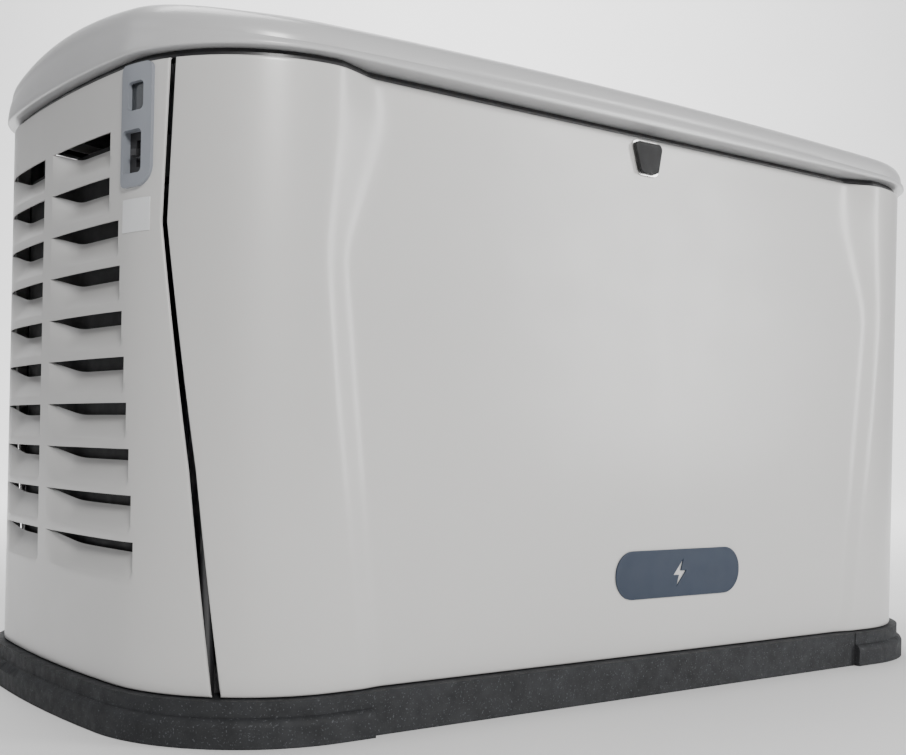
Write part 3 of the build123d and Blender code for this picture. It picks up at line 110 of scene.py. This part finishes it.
def arc_at_y(y):
    """Arc length on the -X half where the outline has this y."""
    left_arc = ARC[:HALF_COUNT]
    left_y = LOOP[:HALF_COUNT, 1]
    keep = np.concatenate([[True], np.diff(left_y) < -1e-12])
    return np.interp(-np.asarray(y), -left_y[keep], left_arc[keep])


def share_line(z, rows, column):
    share = (np.asarray(z) - Z0) / PANEL_H
    return np.interp(share, [row[0] for row in rows], [row[column] for row in rows])


def seam_y(z):
    return HALF_D * share_line(z, SEAM_LINE, 1)


def soft(value):
    return np.logaddexp(0.0, value)


def soft_line(z, rows, column, width):
    """Piecewise line through the rows with its corners rounded over width."""
    zs = [Z0 + row[0] * PANEL_H for row in rows]
    vs = [row[column] for row in rows]
    slopes = [(b - a) / (q - p) for a, b, p, q in zip(vs, vs[1:], zs, zs[1:])]
    out = vs[0] + slopes[0] * (np.asarray(z) - zs[0])
    for knot, low, high in zip(zs[1:-1], slopes, slopes[1:]):
        out = out + (high - low) * width * soft((z - knot) / width)
    return out


def recess_depth(x, z):
    """Depth of the front hollow at x, z with rounded press lines."""
    proud = HALF_L - soft_line(z, RECESS, 1, PRESS_ROUND)
    floor = HALF_L - soft_line(z, RECESS, 2, PRESS_ROUND)
    depth = soft_line(z, RECESS, 3, FLOOR_ROUND)
    wall = (proud - np.abs(x)) / (proud - floor)
    return depth * (soft(wall * WALL_SHARP) - soft((wall - 1.0) * WALL_SHARP)) / WALL_SHARP


# ---------------------------------------------------------------- mesh helpers
def finish_mesh(name, verts, faces, smooth=True, angle=35.0):
    mesh = bpy.data.meshes.new(name)
    mesh.from_pydata([tuple(v) for v in verts], [], [tuple(f) for f in faces])
    mesh.update()
    piece = bpy.data.objects.new(name, mesh)
    bpy.context.scene.collection.objects.link(piece)
    if smooth:
        mesh.polygons.foreach_set("use_smooth", [True] * len(mesh.polygons))
        mesh.set_sharp_from_angle(angle=math.radians(angle))
    return piece


def grid_normals(p):
    du = np.gradient(p, axis=1)
    dv = np.gradient(p, axis=0)
    n = np.cross(du, dv)
    size = np.linalg.norm(n, axis=2, keepdims=True)
    return n / np.maximum(size, 1e-12)


def sheet_shell(name, outer, keep, thick, outward):
    """Closed sheet of the given thickness behind a grid of points, with openings where keep is false."""
    rows, cols = outer.shape[:2]
    n = grid_normals(outer)
    sign = np.sign((n * outward).sum(2, keepdims=True))
    n = n * np.where(sign == 0, 1, sign)
    inner = outer - n * thick
    verts = np.concatenate([outer.reshape(-1, 3), inner.reshape(-1, 3)])
    back = rows * cols
    index = np.arange(back).reshape(rows, cols)
    faces = []
    flip = float((np.cross(outer[0, 1] - outer[0, 0], outer[1, 0] - outer[0, 0]) * outward[0, 0]).sum()) < 0

    def quad(a, b, c, d):
        faces.append((a, d, c, b) if flip else (a, b, c, d))

    for i in range(rows - 1):
        for j in range(cols - 1):
            if not keep[i, j]:
                continue
            a, b, c, d = index[i, j], index[i, j + 1], index[i + 1, j + 1], index[i + 1, j]
            quad(a, b, c, d)
            quad(d + back, c + back, b + back, a + back)
            if i == 0 or not keep[i - 1, j]:
                quad(b, a, a + back, b + back)
            if i == rows - 2 or not keep[i + 1, j]:
                quad(d, c, c + back, d + back)
            if j == 0 or not keep[i, j - 1]:
                quad(a, d, d + back, a + back)
            if j == cols - 2 or not keep[i, j + 1]:
                quad(c, b, b + back, c + back)
    used = np.unique(np.array(faces))
    remap = np.full(len(verts), -1)
    remap[used] = np.arange(len(used))
    return finish_mesh(name, verts[used], remap[np.array(faces)])


EDGE_R = 0.0022
EDGE_STEPS = np.linspace(0, math.pi / 2, 6)
EDGE_IN = EDGE_R * (1 - np.cos(EDGE_STEPS))
EDGE_DROP = EDGE_R * (1 - np.sin(EDGE_STEPS))


def edged(low, high, count):
    """Samples from low to high with rounded-edge samples at both ends, and how far each drops."""
    inner = np.linspace(low + EDGE_R, high - EDGE_R, count)[1:-1]
    values = np.concatenate([low + EDGE_IN, inner, (high - EDGE_IN)[::-1]])
    drops = np.concatenate([EDGE_DROP, np.zeros(len(inner)), EDGE_DROP[::-1]])
    return values, drops


# ---------------------------------------------------------------- front panel
def build_front_panel():
    z, z_drop = edged(Z0, Z1, 300)
    left = arc_at_y(-(seam_y(z) + SEAM_GAP / 2))
    straight = np.linspace(-CORNER_X * 1.045, CORNER_X * 1.045, 520)
    mid_arc = ROUND / 2 + straight
    corner = np.linspace(0, 1, 60)[1:]
    S = []
    drop = []
    for row in range(len(z)):
        start = left[row]
        first = mid_arc[0]
        a = np.concatenate([start + EDGE_IN, start + EDGE_R + (first - start - EDGE_R) * corner[:-1]])
        S.append(np.concatenate([a, mid_arc, (ROUND - a)[::-1]]))
        d = np.zeros(S[-1].shape)
        d[: len(EDGE_DROP)] = EDGE_DROP
        d[-len(EDGE_DROP):] = EDGE_DROP[::-1]
        drop.append(np.maximum(d, z_drop[row]))
    S = np.array(S)
    x, y, nx, ny = along(S)
    Z = np.repeat(z[:, None], S.shape[1], 1)
    depth = np.where(np.abs(x) < HALF_L * 0.86, recess_depth(x, Z), 0.0)
    fade = np.array(drop)
    outer = np.stack([x - nx * fade, y - ny * fade + depth, Z], 2)
    outward = np.stack([nx, ny, np.zeros_like(nx)], 2)
    keep = np.ones((outer.shape[0] - 1, outer.shape[1] - 1), bool)
    lock_lo, lock_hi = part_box("lock_housing")
    cx = (x[:-1, :-1] + x[1:, 1:]) / 2
    cz = (Z[:-1, :-1] + Z[1:, 1:]) / 2
    lock_z = (lock_lo.z + lock_hi.z) / 2
    keep &= ~((np.abs(cx) < 0.011) & (np.abs(cz - lock_z) < 0.011) & (y[:-1, :-1] < 0))
    return sheet_shell("front_skin", outer, keep, SHEET, outward)


# ---------------------------------------------------------------- louvred end panel
LOUVRES = 10
LOUVRE_TOP = Z1 - 0.058
BESIDE_BEZEL = 0.128
SEAM_MARGIN = 0.066
PITCH = 0.0744 * PANEL_H
BAY_H = 0.82 * PITCH
SLOT_H = 0.013
BAY_DEPTH = 0.0145
INNER_Y = 0.019
REAR_Y0 = 0.044
REAR_Y1 = 0.65 * HALF_D
POINT_SHARE = 0.30
POINT_SHARP = 9.0
BLUNT_LEN = 0.006
END_R = 0.005
# inset and thickness of the black painted-shade sheet behind the louvres
SHADE_SHEET_IN = 0.021
SHADE_SHEET_T = 0.003


def bay_front(z):
    """Half depth of the front end of the bays at height z, following the seam."""
    return np.where(z > BEZEL_LO.z - 0.004, BESIDE_BEZEL, seam_y(z) - SEAM_MARGIN)


def build_end_panel(name, windows):
    rows_z = []
    z_low_edge = edged(Z0, LOUVRE_TOP - (LOUVRES - 1) * PITCH - BAY_H, 26)[0]
    for value in z_low_edge[:-6]:
        rows_z.append((value, value, "flat", 0, 0.0))
    for k in range(LOUVRES - 1, -1, -1):
        top = LOUVRE_TOP - k * PITCH
        low = top - BAY_H
        for t in np.linspace(0, 1, 15):
            rows_z.append((low, top, "ramp", k, t))
        for t in (0.34, 0.67, 1.0):
            rows_z.append((low, top, "slot", k, t))
        if k:
            rows_z.append(((top + low + PITCH) / 2, (top + low + PITCH) / 2, "flat", k, 0.0))
    z_top_edge = edged(LOUVRE_TOP, Z1, 22)[0]
    for value in z_top_edge[6:]:
        rows_z.append((value, value, "flat", 0, 0.0))
    grid = []
    normals = []
    removed = []
    for low, high, kind, k, t in rows_z:
        if kind == "ramp":
            z_here = low + (high - SLOT_H - low) * t
        elif kind == "slot":
            z_here = high - SLOT_H * (1 - t)
        else:
            z_here = low
        seam = float(seam_y(np.clip(z_here, Z0, Z1))) - SEAM_GAP / 2
        front = float(bay_front(high if kind != "flat" else z_here + 0.02))
        front = min(front, seam - 0.03)
        knots = [seam, REAR_Y1, REAR_Y0, INNER_Y, -front, -seam]
        s = arc_at_y(np.array(knots))
        cols = []
        tags = []
        counts = (24, 70, 8, 84, 30)
        for part, count in enumerate(counts):
            if part == 0:
                piece, fade = edged(s[0], s[1], count)
                piece, fade = piece[:-6], fade[:-6]
            elif part == 4:
                piece, fade = edged(s[4], s[5], count)
                piece, fade = piece[6:], fade[6:]
            else:
                piece = np.linspace(s[part], s[part + 1], count)
                fade = np.zeros(count)
            cols.append(piece)
            tags.append(np.stack([np.full(len(piece), part), fade, piece - s[part], s[part + 1] - piece], 1))
        S = np.concatenate(cols)
        tag = np.concatenate(tags)
        inside = (tag[:, 0] == 1) | (tag[:, 0] == 3)
        reach = POINT_SHARE * (tag[:, 2] + tag[:, 3])
        point = tag[:, 2] / np.maximum(reach, 1e-9)
        point = 1.0 - soft((1.0 - point) * POINT_SHARP) / soft(POINT_SHARP)
        point = np.clip(point, 0, 1)
        blunt = np.clip(tag[:, 3] / BLUNT_LEN, 0, 1)
        blunt = blunt * blunt * (3 - 2 * blunt)
        round_end = np.sqrt(np.clip(1 - (1 - np.clip(tag[:, 3] / END_R, 0, 1)) ** 2, 0, 1))
        open_h = np.where(inside, SLOT_H * np.clip(point, 0.03, 1) * (0.70 + 0.30 * round_end), SLOT_H)
        amount = np.where(inside, point * blunt, 0.0)
        slot_low = high - open_h
        if kind == "flat":
            z = np.full(S.shape, low)
            depth = np.zeros(S.shape)
        elif kind == "ramp":
            z = low + (slot_low - low) * t
            bend = np.clip((t - 0.03) / 0.97, 0, 1)
            depth = BAY_DEPTH * amount * bend
        else:
            z = slot_low + (high - slot_low) * t
            depth = np.zeros(S.shape)
        fade = tag[:, 1]
        edge_z = np.interp(np.minimum(z - Z0, Z1 - z), EDGE_IN, EDGE_DROP)
        drop = np.maximum(fade, np.where(np.minimum(z - Z0, Z1 - z) < EDGE_R, edge_z, 0.0)) + depth
        x, y, nx, ny = along(S)
        grid.append(np.stack([x - nx * drop, y - ny * drop, z], 1))
        normals.append(np.stack([nx, ny, np.zeros_like(nx)], 1))
        removed.append((kind, t, inside))
    outer = np.array(grid)
    outward = np.array(normals)
    keep = np.ones((outer.shape[0] - 1, outer.shape[1] - 1), bool)
    for i in range(outer.shape[0] - 1):
        kind, t, inside = removed[i + 1]
        if kind == "slot":
            both = inside[:-1] & inside[1:]
            keep[i] &= ~both
    for lo, hi in windows:
        mid = (outer[:-1, :-1] + outer[1:, 1:]) / 2
        hit = (mid[..., 1] > lo[1]) & (mid[..., 1] < hi[1]) & (mid[..., 2] > lo[2]) & (mid[..., 2] < hi[2])
        keep &= ~hit
    return sheet_shell(name, outer, keep, SHEET, outward)


# ---------------------------------------------------------------- lid
ACROSS_R = 1.300
ALONG_R = 13.5
SHOULDER = 0.030
LEAN = 0.004
FLANGE = 0.066
SHOULDER_RISE = 0.93
CROWN_START = 0.97
CROWN_BLEND = 0.10
LOOP_STEPS = 721


def crown(x, y, drop):
    return CROWN_Z - drop - y**2 / (2 * ACROSS_R) - x**2 / (2 * ALONG_R)


def lid_rings(inset, z_low):
    """Rings of one lid surface from its lower edge to the middle line, each a full loop of points."""
    s = np.linspace(0, ROUND, LOOP_STEPS)[:-1]
    x, y, nx, ny = along(s)
    grow = LIP_OUT - inset
    rings = []
    edge_x = x + nx * grow
    edge_y = y + ny * grow
    shoulder = SHOULDER - inset
    z_shoulder = crown(edge_x, edge_y, inset) - shoulder * SHOULDER_RISE
    for t in np.linspace(0, 1, 8)[:-1]:
        z = z_low + (z_shoulder - z_low) * t
        lean = LEAN * t * t
        rings.append(np.stack([x + nx * (grow - lean), y + ny * (grow - lean), z], 1))
    for a in np.linspace(0, 1, 15):
        ang = a * math.pi / 2
        back = LEAN + shoulder * (1 - math.cos(ang))
        px = x + nx * (grow - back)
        py = y + ny * (grow - back)
        blend = a**1.5
        z_arc = z_shoulder + shoulder * math.sin(ang) * SHOULDER_RISE
        z = z_arc * (1 - blend) + np.minimum(z_arc, crown(px, py, inset)) * blend
        rings.append(np.stack([px, py, z], 1))
    last = rings[-1]
    mid_x = np.clip(last[:, 0], -1, 1) * (CORNER_X / HALF_L)
    for k in np.linspace(CROWN_START, 0.0, 44):
        px = mid_x + (last[:, 0] - mid_x) * k
        py = last[:, 1] * k
        z = crown(px, py, inset)
        w = min(1.0, (CROWN_START - k) / CROWN_BLEND)
        start = last[:, 2] - crown(last[:, 0], last[:, 1], inset)
        rings.append(np.stack([px, py, z + start * (1 - w) ** 2], 1))
    return rings


def build_lid():
    outer = lid_rings(0.0, LIP_Z + 0.0016)
    inner = lid_rings(SHEET, LIP_Z + SHEET)
    s = np.linspace(0, ROUND, LOOP_STEPS)[:-1]
    x, y, nx, ny = along(s)
    under = []
    for back, up in ((0.0004, 0.0008), (0.0014, 0.0001), (0.003, 0.0), (FLANGE, 0.0),
                     (FLANGE, SHEET), (0.004, SHEET)):
        grow = LIP_OUT - back
        under.append(np.stack([x + nx * grow, y + ny * grow, np.full(len(s), LIP_Z + up)], 1))
    rings = outer[::-1] + under + inner
    count = len(s)
    verts = np.concatenate(rings)
    faces = []
    for r in range(len(rings) - 1):
        for j in range(count):
            k = (j + 1) % count
            faces.append((r * count + j, (r + 1) * count + j, (r + 1) * count + k, r * count + k))
    lid = finish_mesh("lid_skin", verts, faces)
    bm = bmesh.new()
    bm.from_mesh(lid.data)
    bmesh.ops.remove_doubles(bm, verts=bm.verts, dist=1e-6)
    bmesh.ops.recalc_face_normals(bm, faces=bm.faces)
    bm.to_mesh(lid.data)
    bm.free()
    return lid


# ---------------------------------------------------------------- materials
class Shader:
    """A principled material with a node tree that is built up step by step."""

    def __init__(self, name, colour, rough, metal=0.0, spec=0.5, coat=0.0, coat_rough=0.1):
        self.material = bpy.data.materials.new(name)
        self.material.use_nodes = True
        self.tree = self.material.node_tree
        self.bsdf = self.tree.nodes["Principled BSDF"]
        self.colour = colour
        self.bsdf.inputs["Base Color"].default_value = (*colour, 1)
        self.bsdf.inputs["Roughness"].default_value = rough
        self.bsdf.inputs["Metallic"].default_value = metal
        self.bsdf.inputs["Specular IOR Level"].default_value = spec
        self.bsdf.inputs["Coat Weight"].default_value = coat
        self.bsdf.inputs["Coat Roughness"].default_value = coat_rough
        self.rough = rough
        self.bump_out = None

    def node(self, kind, **values):
        made = self.tree.nodes.new(kind)
        for key, value in values.items():
            if key in made.inputs:
                made.inputs[key].default_value = value
            else:
                setattr(made, key, value)
        return made

    def link(self, a, b):
        self.tree.links.new(a, b)

    def coords(self, stretch=(1, 1, 1)):
        tex = self.node("ShaderNodeTexCoord")
        if stretch == (1, 1, 1):
            return tex.outputs["Object"]
        mapping = self.node("ShaderNodeMapping")
        mapping.inputs["Scale"].default_value = stretch
        self.link(tex.outputs["Object"], mapping.inputs["Vector"])
        return mapping.outputs["Vector"]

    def noise(self, scale, detail=3.0, stretch=(1, 1, 1), roughness=0.5):
        made = self.node("ShaderNodeTexNoise")
        made.inputs["Scale"].default_value = scale
        made.inputs["Detail"].default_value = detail
        made.inputs["Roughness"].default_value = roughness
        self.link(self.coords(stretch), made.inputs["Vector"])
        return made.outputs["Fac"]

    def voronoi(self, scale, stretch=(1, 1, 1)):
        made = self.node("ShaderNodeTexVoronoi")
        made.inputs["Scale"].default_value = scale
        self.link(self.coords(stretch), made.inputs["Vector"])
        return made.outputs["Distance"]

    def ramp(self, value, stops):
        made = self.node("ShaderNodeValToRGB")
        ramp = made.color_ramp
        ramp.elements[0].position = stops[0][0]
        ramp.elements[0].color = (*stops[0][1], 1)
        ramp.elements[1].position = stops[-1][0]
        ramp.elements[1].color = (*stops[-1][1], 1)
        for at, colour in stops[1:-1]:
            new = ramp.elements.new(at)
            new.color = (*colour, 1)
        self.link(value, made.inputs["Fac"])
        return made.outputs["Color"]

    def spread(self, value, low, high, start=0.3, stop=0.7):
        made = self.node("ShaderNodeMapRange")
        made.inputs["From Min"].default_value = start
        made.inputs["From Max"].default_value = stop
        made.inputs["To Min"].default_value = low
        made.inputs["To Max"].default_value = high
        self.link(value, made.inputs["Value"])
        return made.outputs["Result"]

    def tint(self, value, amount, start=0.3, stop=0.7):
        """Base colour varied by plus and minus amount along value."""
        low = tuple(c * (1 - amount) for c in self.colour)
        high = tuple(min(1.0, c * (1 + amount)) for c in self.colour)
        self.link(self.ramp(value, ((start, low), (stop, high))), self.bsdf.inputs["Base Color"])

    def rough_by(self, value, amount, start=0.3, stop=0.7):
        low, high = max(0.02, self.rough - amount), min(1.0, self.rough + amount)
        self.link(self.spread(value, low, high, start, stop), self.bsdf.inputs["Roughness"])

    def bump(self, value, strength, distance):
        made = self.node("ShaderNodeBump")
        made.inputs["Strength"].default_value = strength
        made.inputs["Distance"].default_value = distance
        self.link(value, made.inputs["Height"])
        if self.bump_out is not None:
            self.link(self.bump_out, made.inputs["Normal"])
        self.bump_out = made.outputs["Normal"]
        self.link(self.bump_out, self.bsdf.inputs["Normal"])

    def mix_over(self, mask, colour):
        """Colour laid over what feeds the base colour, by mask."""
        mix = self.node("ShaderNodeMix", data_type="RGBA")
        self.link(mask, mix.inputs["Factor"])
        socket = self.bsdf.inputs["Base Color"]
        if socket.is_linked:
            self.link(socket.links[0].from_socket, mix.inputs[6])
        else:
            mix.inputs[6].default_value = socket.default_value
        mix.inputs[7].default_value = (*colour, 1)
        self.link(mix.outputs[2], socket)


def powder(name, colour, rough=0.38, peel=0.00010):
    """Powder-coated sheet: fine orange peel and a faint cloudiness under a satin sheen."""
    s = Shader(name, colour, rough, spec=0.5, coat=0.55, coat_rough=0.20)
    s.tint(s.noise(6.0, 3.0), 0.012)
    s.rough_by(s.noise(22.0, 3.0), 0.05)
    s.bump(s.noise(620.0, 2.0), 0.35, peel)
    s.bump(s.noise(9.0, 2.0), 0.06, 0.0006)
    return s.material


def composite(name, colour):
    """Moulded composite: dark grey with fine light flecks and a coarse pebbled skin."""
    s = Shader(name, colour, 0.72, spec=0.35)
    s.tint(s.noise(40.0, 4.0), 0.25)
    flecks = s.spread(s.noise(520.0, 2.0), 0.0, 0.8, 0.62, 0.72)
    s.mix_over(flecks, tuple(min(1, c * 4.0) for c in colour))
    s.rough_by(s.noise(90.0, 3.0), 0.10)
    s.bump(s.noise(300.0, 3.0), 0.55, 0.0004)
    return s.material


def plastic(name, colour, rough=0.42, grain=0.00006, spec=0.5):
    """Moulded plastic with a fine grain."""
    s = Shader(name, colour, rough, spec=spec)
    s.tint(s.noise(18.0, 2.0), 0.03)
    s.rough_by(s.noise(60.0, 3.0), 0.06)
    s.bump(s.noise(900.0, 2.0), 0.4, grain)
    return s.material


def rubber(name, colour, rough=0.62):
    s = Shader(name, colour, rough, spec=0.35)
    s.tint(s.noise(30.0, 3.0), 0.12)
    s.rough_by(s.noise(50.0, 3.0), 0.08)
    s.bump(s.noise(420.0, 3.0), 0.4, 0.00012)
    return s.material


def cast(name, colour, rough=0.5, metal=1.0):
    """Sand or die-cast metal: mottled, grainy, slightly stained."""
    s = Shader(name, colour, rough, metal=metal)
    s.tint(s.noise(26.0, 4.0), 0.16)
    s.mix_over(s.spread(s.noise(7.0, 4.0), 0.0, 0.35, 0.55, 0.8), tuple(c * 0.55 for c in colour))
    s.rough_by(s.noise(70.0, 3.0), 0.12)
    s.bump(s.noise(380.0, 3.0), 0.5, 0.0002)
    return s.material


def metal(name, colour, rough=0.3, brushed=(1, 1, 40), depth=0.00004):
    """Rolled, drawn or plated metal with a faint directional grain."""
    s = Shader(name, colour, rough, metal=1.0)
    s.tint(s.noise(40.0, 3.0, brushed), 0.06)
    s.rough_by(s.noise(60.0, 3.0, brushed), 0.10)
    s.bump(s.noise(260.0, 2.0, brushed), 0.25, depth)
    return s.material


def spangle(name):
    """Zinc-plated steel: crystalline patches with a pale blue-grey cast."""
    s = Shader(name, (0.62, 0.64, 0.66), 0.34, metal=1.0)
    s.tint(s.voronoi(85.0), 0.10, 0.0, 0.6)
    s.rough_by(s.voronoi(60.0), 0.10, 0.0, 0.6)
    s.bump(s.noise(500.0, 2.0), 0.2, 0.00004)
    return s.material


SKINS = {
    "panel_paint": powder("panel_paint_skin", (0.545, 0.540, 0.530), 0.40),
    "lid_paint": powder("lid_paint_skin", (0.500, 0.500, 0.505), 0.36),
    "base_composite": composite("composite_skin", (0.020, 0.021, 0.023)),
    "zinc_steel": spangle("zinc_skin"),
    "black_steel": powder("black_steel_skin", (0.018, 0.018, 0.020), 0.45),
    "seal_rubber": rubber("seal_rubber_skin", (0.016, 0.016, 0.017)),
    "lock_metal": metal("lock_metal_skin", (0.62, 0.62, 0.61), 0.28, (1, 1, 1)),
    "bezel_plastic": plastic("bezel_skin", (0.235, 0.250, 0.280), 0.36),
    "label_white": plastic("label_skin", (0.66, 0.67, 0.68), 0.35, 0.00002),
    "badge_navy": plastic("badge_skin", (0.004, 0.016, 0.040), 0.42, 0.00003),
    "breaker_plastic": plastic("breaker_skin", (0.022, 0.022, 0.024), 0.50),
    "toggle_plastic": plastic("toggle_skin", (0.030, 0.030, 0.032), 0.36),
    "cast_aluminium": cast("cast_aluminium_skin", (0.52, 0.52, 0.51), 0.46),
    "cast_grey": cast("cast_grey_skin", (0.20, 0.20, 0.20), 0.58),
    "ground_steel": metal("ground_steel_skin", (0.60, 0.60, 0.60), 0.24, (40, 1, 1)),
    "engine_black": powder("engine_black_skin", (0.014, 0.014, 0.015), 0.42),
    "hose_rubber": rubber("hose_rubber_skin", (0.020, 0.020, 0.021), 0.55),
    "box_plastic": plastic("box_skin", (0.032, 0.032, 0.034), 0.46),
    "filter_paper": plastic("filter_paper_skin", (0.56, 0.49, 0.33), 0.85, 0.0002, 0.2),
    "filter_paint": powder("filter_paint_skin", (0.62, 0.62, 0.60), 0.25, 0.00003),
    "fuel_brass": metal("brass_skin", (0.72, 0.53, 0.25), 0.30, (1, 1, 30)),
    "exhaust_steel": cast("exhaust_skin", (0.36, 0.32, 0.27), 0.42),
    "battery_case": plastic("battery_skin", (0.020, 0.020, 0.022), 0.38),
    "strap_steel": powder("strap_skin", (0.025, 0.025, 0.027), 0.42),
    "key_green": plastic("key_green_skin", (0.030, 0.26, 0.075), 0.48),
    "key_red": plastic("key_red_skin", (0.42, 0.030, 0.022), 0.48),
    "key_blue": plastic("key_blue_skin", (0.030, 0.090, 0.32), 0.48),
    "key_grey": plastic("key_grey_skin", (0.30, 0.30, 0.32), 0.48),
    "stick_yellow": plastic("stick_skin", (0.75, 0.48, 0.03), 0.38),
    "winding_copper": cast("winding_skin", (0.30, 0.15, 0.08), 0.42, 0.7),
}


def lens(name, colour, rough):
    """Tinted clear plastic window."""
    s = Shader(name, colour, rough, spec=0.5)
    s.bsdf.inputs["Transmission Weight"].default_value = 0.55
    s.bsdf.inputs["IOR"].default_value = 1.49
    s.rough_by(s.noise(50.0, 2.0), 0.03)
    s.bump(s.noise(30.0, 2.0), 0.1, 0.0002)
    return s.material


SKINS["clear_lens"] = lens("lens_skin", (0.055, 0.065, 0.075), 0.10)
SKINS["display_glass"] = lens("display_skin", (0.020, 0.045, 0.030), 0.08)

SLOT_OF = {part["node"]: part["material_slot"] for part in frame["record"]["subparts"]}
for node_name, node_object in NODES.items():
    skin = SKINS[SLOT_OF[node_name]]
    for material_slot in node_object.material_slots:
        material_slot.material = skin
    if not node_object.material_slots:
        node_object.data.materials.append(skin)


def place(piece, body, skin_slot, *stands_for):
    piece.data.materials.append(SKINS[skin_slot])
    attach(piece, body)
    if stands_for:
        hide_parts(*stands_for)
    return piece


# ---------------------------------------------------------------- skins of the enclosure
front_skin = place(build_front_panel(), "front", "panel_paint", "front_panel")
window = ((0, BEZEL_LO.y + 0.0085, BEZEL_LO.z + 0.010), (0, BEZEL_HI.y - 0.002, BEZEL_HI.z - 0.010))
left_skin = place(build_end_panel("left_end_skin", [window]), "base", "panel_paint", "left_end_panel")
lid_skin = place(build_lid(), "lid", "lid_paint", "lid")


def build_shade_sheet():
    """Black sheet that follows the end panel a little way behind its louvres: painted shade that keeps the
    slot openings dark.
    """
    s_values = arc_at_y(np.linspace(REAR_Y1 + 0.022, -0.150, 60))
    z = np.linspace(Z0 + 0.070, LOUVRE_TOP - 0.004, 40)
    S, Z = np.meshgrid(s_values, z)
    x, y, nx, ny = along(S)
    outer = np.stack([x - nx * SHADE_SHEET_IN, y - ny * SHADE_SHEET_IN, Z], 2)
    outward = np.stack([nx, ny, np.zeros_like(nx)], 2)
    keep = np.ones((len(z) - 1, len(s_values) - 1), bool)
    return sheet_shell("louvre_shade_sheet", outer, keep, SHADE_SHEET_T, outward)


# black sheet behind the louvre slots: painted shade that darkens their openings
shade_sheet = place(build_shade_sheet(), "base", "seal_rubber")

# ---------------------------------------------------------------- floor and backdrop
def stage_material(name, value, rough):
    s = Shader(name, (value, value, value), rough, spec=0.25)
    s.tint(s.noise(1.5, 2.0), 0.01)
    return s.material


def build_stage():
    """Pale floor that curves up far behind into the backdrop."""
    half = 14.0
    profile = [(-half, 0.0)]
    back, bend = 9.0, 4.0
    profile.append((back - bend, 0.0))
    for step in range(1, 13):
        ang = step / 12 * math.pi / 2
        profile.append((back - bend + bend * math.sin(ang), bend - bend * math.cos(ang)))
    profile.append((back, 12.0))
    verts = []
    for along_d, up in profile:
        for side in (-half, half):
            verts.append((side, along_d, up))
    faces = [(2 * i, 2 * i + 1, 2 * i + 3, 2 * i + 2) for i in range(len(profile) - 1)]
    floor = finish_mesh("floor", verts, faces, True, 60)
    floor.rotation_euler = (0, 0, -math.radians(37.0))
    floor.location = (0, 0, -0.0002)
    floor.data.materials.append(stage_material("floor_skin", 0.86, 0.65))
    return floor


build_stage()

# ---------------------------------------------------------------- camera
EYE = Vector((-1.0789, -1.3514, 0.2900))
YAW = math.radians(37.075)
ROLL = math.radians(1.179)
LENS_MM = 51.13
SENSOR_MM = 36.0
SHIFT_UP = 0.068
ahead = Vector((math.sin(YAW), math.cos(YAW), 0))
side = Vector((math.cos(YAW), -math.sin(YAW), 0))
right = side * math.cos(ROLL) + Vector((0, 0, 1)) * math.sin(ROLL)
up = -side * math.sin(ROLL) + Vector((0, 0, 1)) * math.cos(ROLL)
camera = bpy.data.objects.new("photo_camera", bpy.data.cameras.new("photo_camera"))
bpy.context.scene.collection.objects.link(camera)
turned = Matrix((right, up, -ahead)).transposed().to_4x4()
turned.translation = EYE
camera.matrix_world = turned
camera.data.lens = LENS_MM
camera.data.sensor_width = SENSOR_MM
camera.data.shift_y = SHIFT_UP
camera.data.clip_start = 0.01
bpy.context.scene.camera = camera


# ---------------------------------------------------------------- light
def area(name, at, target, size, power, colour=(1, 1, 1), size_y=None):
    data = bpy.data.lights.new(name, "AREA")
    data.energy = power
    data.color = colour
    data.size = size
    if size_y:
        data.shape = "RECTANGLE"
        data.size_y = size_y
    lamp = bpy.data.objects.new(name, data)
    bpy.context.scene.collection.objects.link(lamp)
    lamp.location = at
    lamp.rotation_euler = (Vector(target) - Vector(at)).to_track_quat("-Z", "Y").to_euler()
    return lamp


area("key", (-1.75, -3.85, 2.4), (0.0, 0, 0.40), 1.0, 158, (1.0, 0.99, 0.97))
area("sheen", (2.35, -2.55, 1.3), (0.0, -0.2, 0.40), 0.8, 62, (1.0, 1.0, 1.0), 2.2)
area("rear_fill", (-3.2, 1.6, 2.0), (-0.4, 0, 0.35), 1.6, 8, (0.95, 0.97, 1.0))
area("top", (-0.4, 0.9, 3.2), (0, 0, 0.6), 1.6, 52)
area("backdrop_wash", (1.8, 2.6, 5.0), (5.4, 7.2, 1.2), 4.0, 1100)
world = bpy.data.worlds.new("studio")
world.use_nodes = True
world.node_tree.nodes["Background"].inputs["Color"].default_value = (0.95, 0.96, 1.0, 1)
world.node_tree.nodes["Background"].inputs["Strength"].default_value = 0.22
bpy.context.scene.world = world
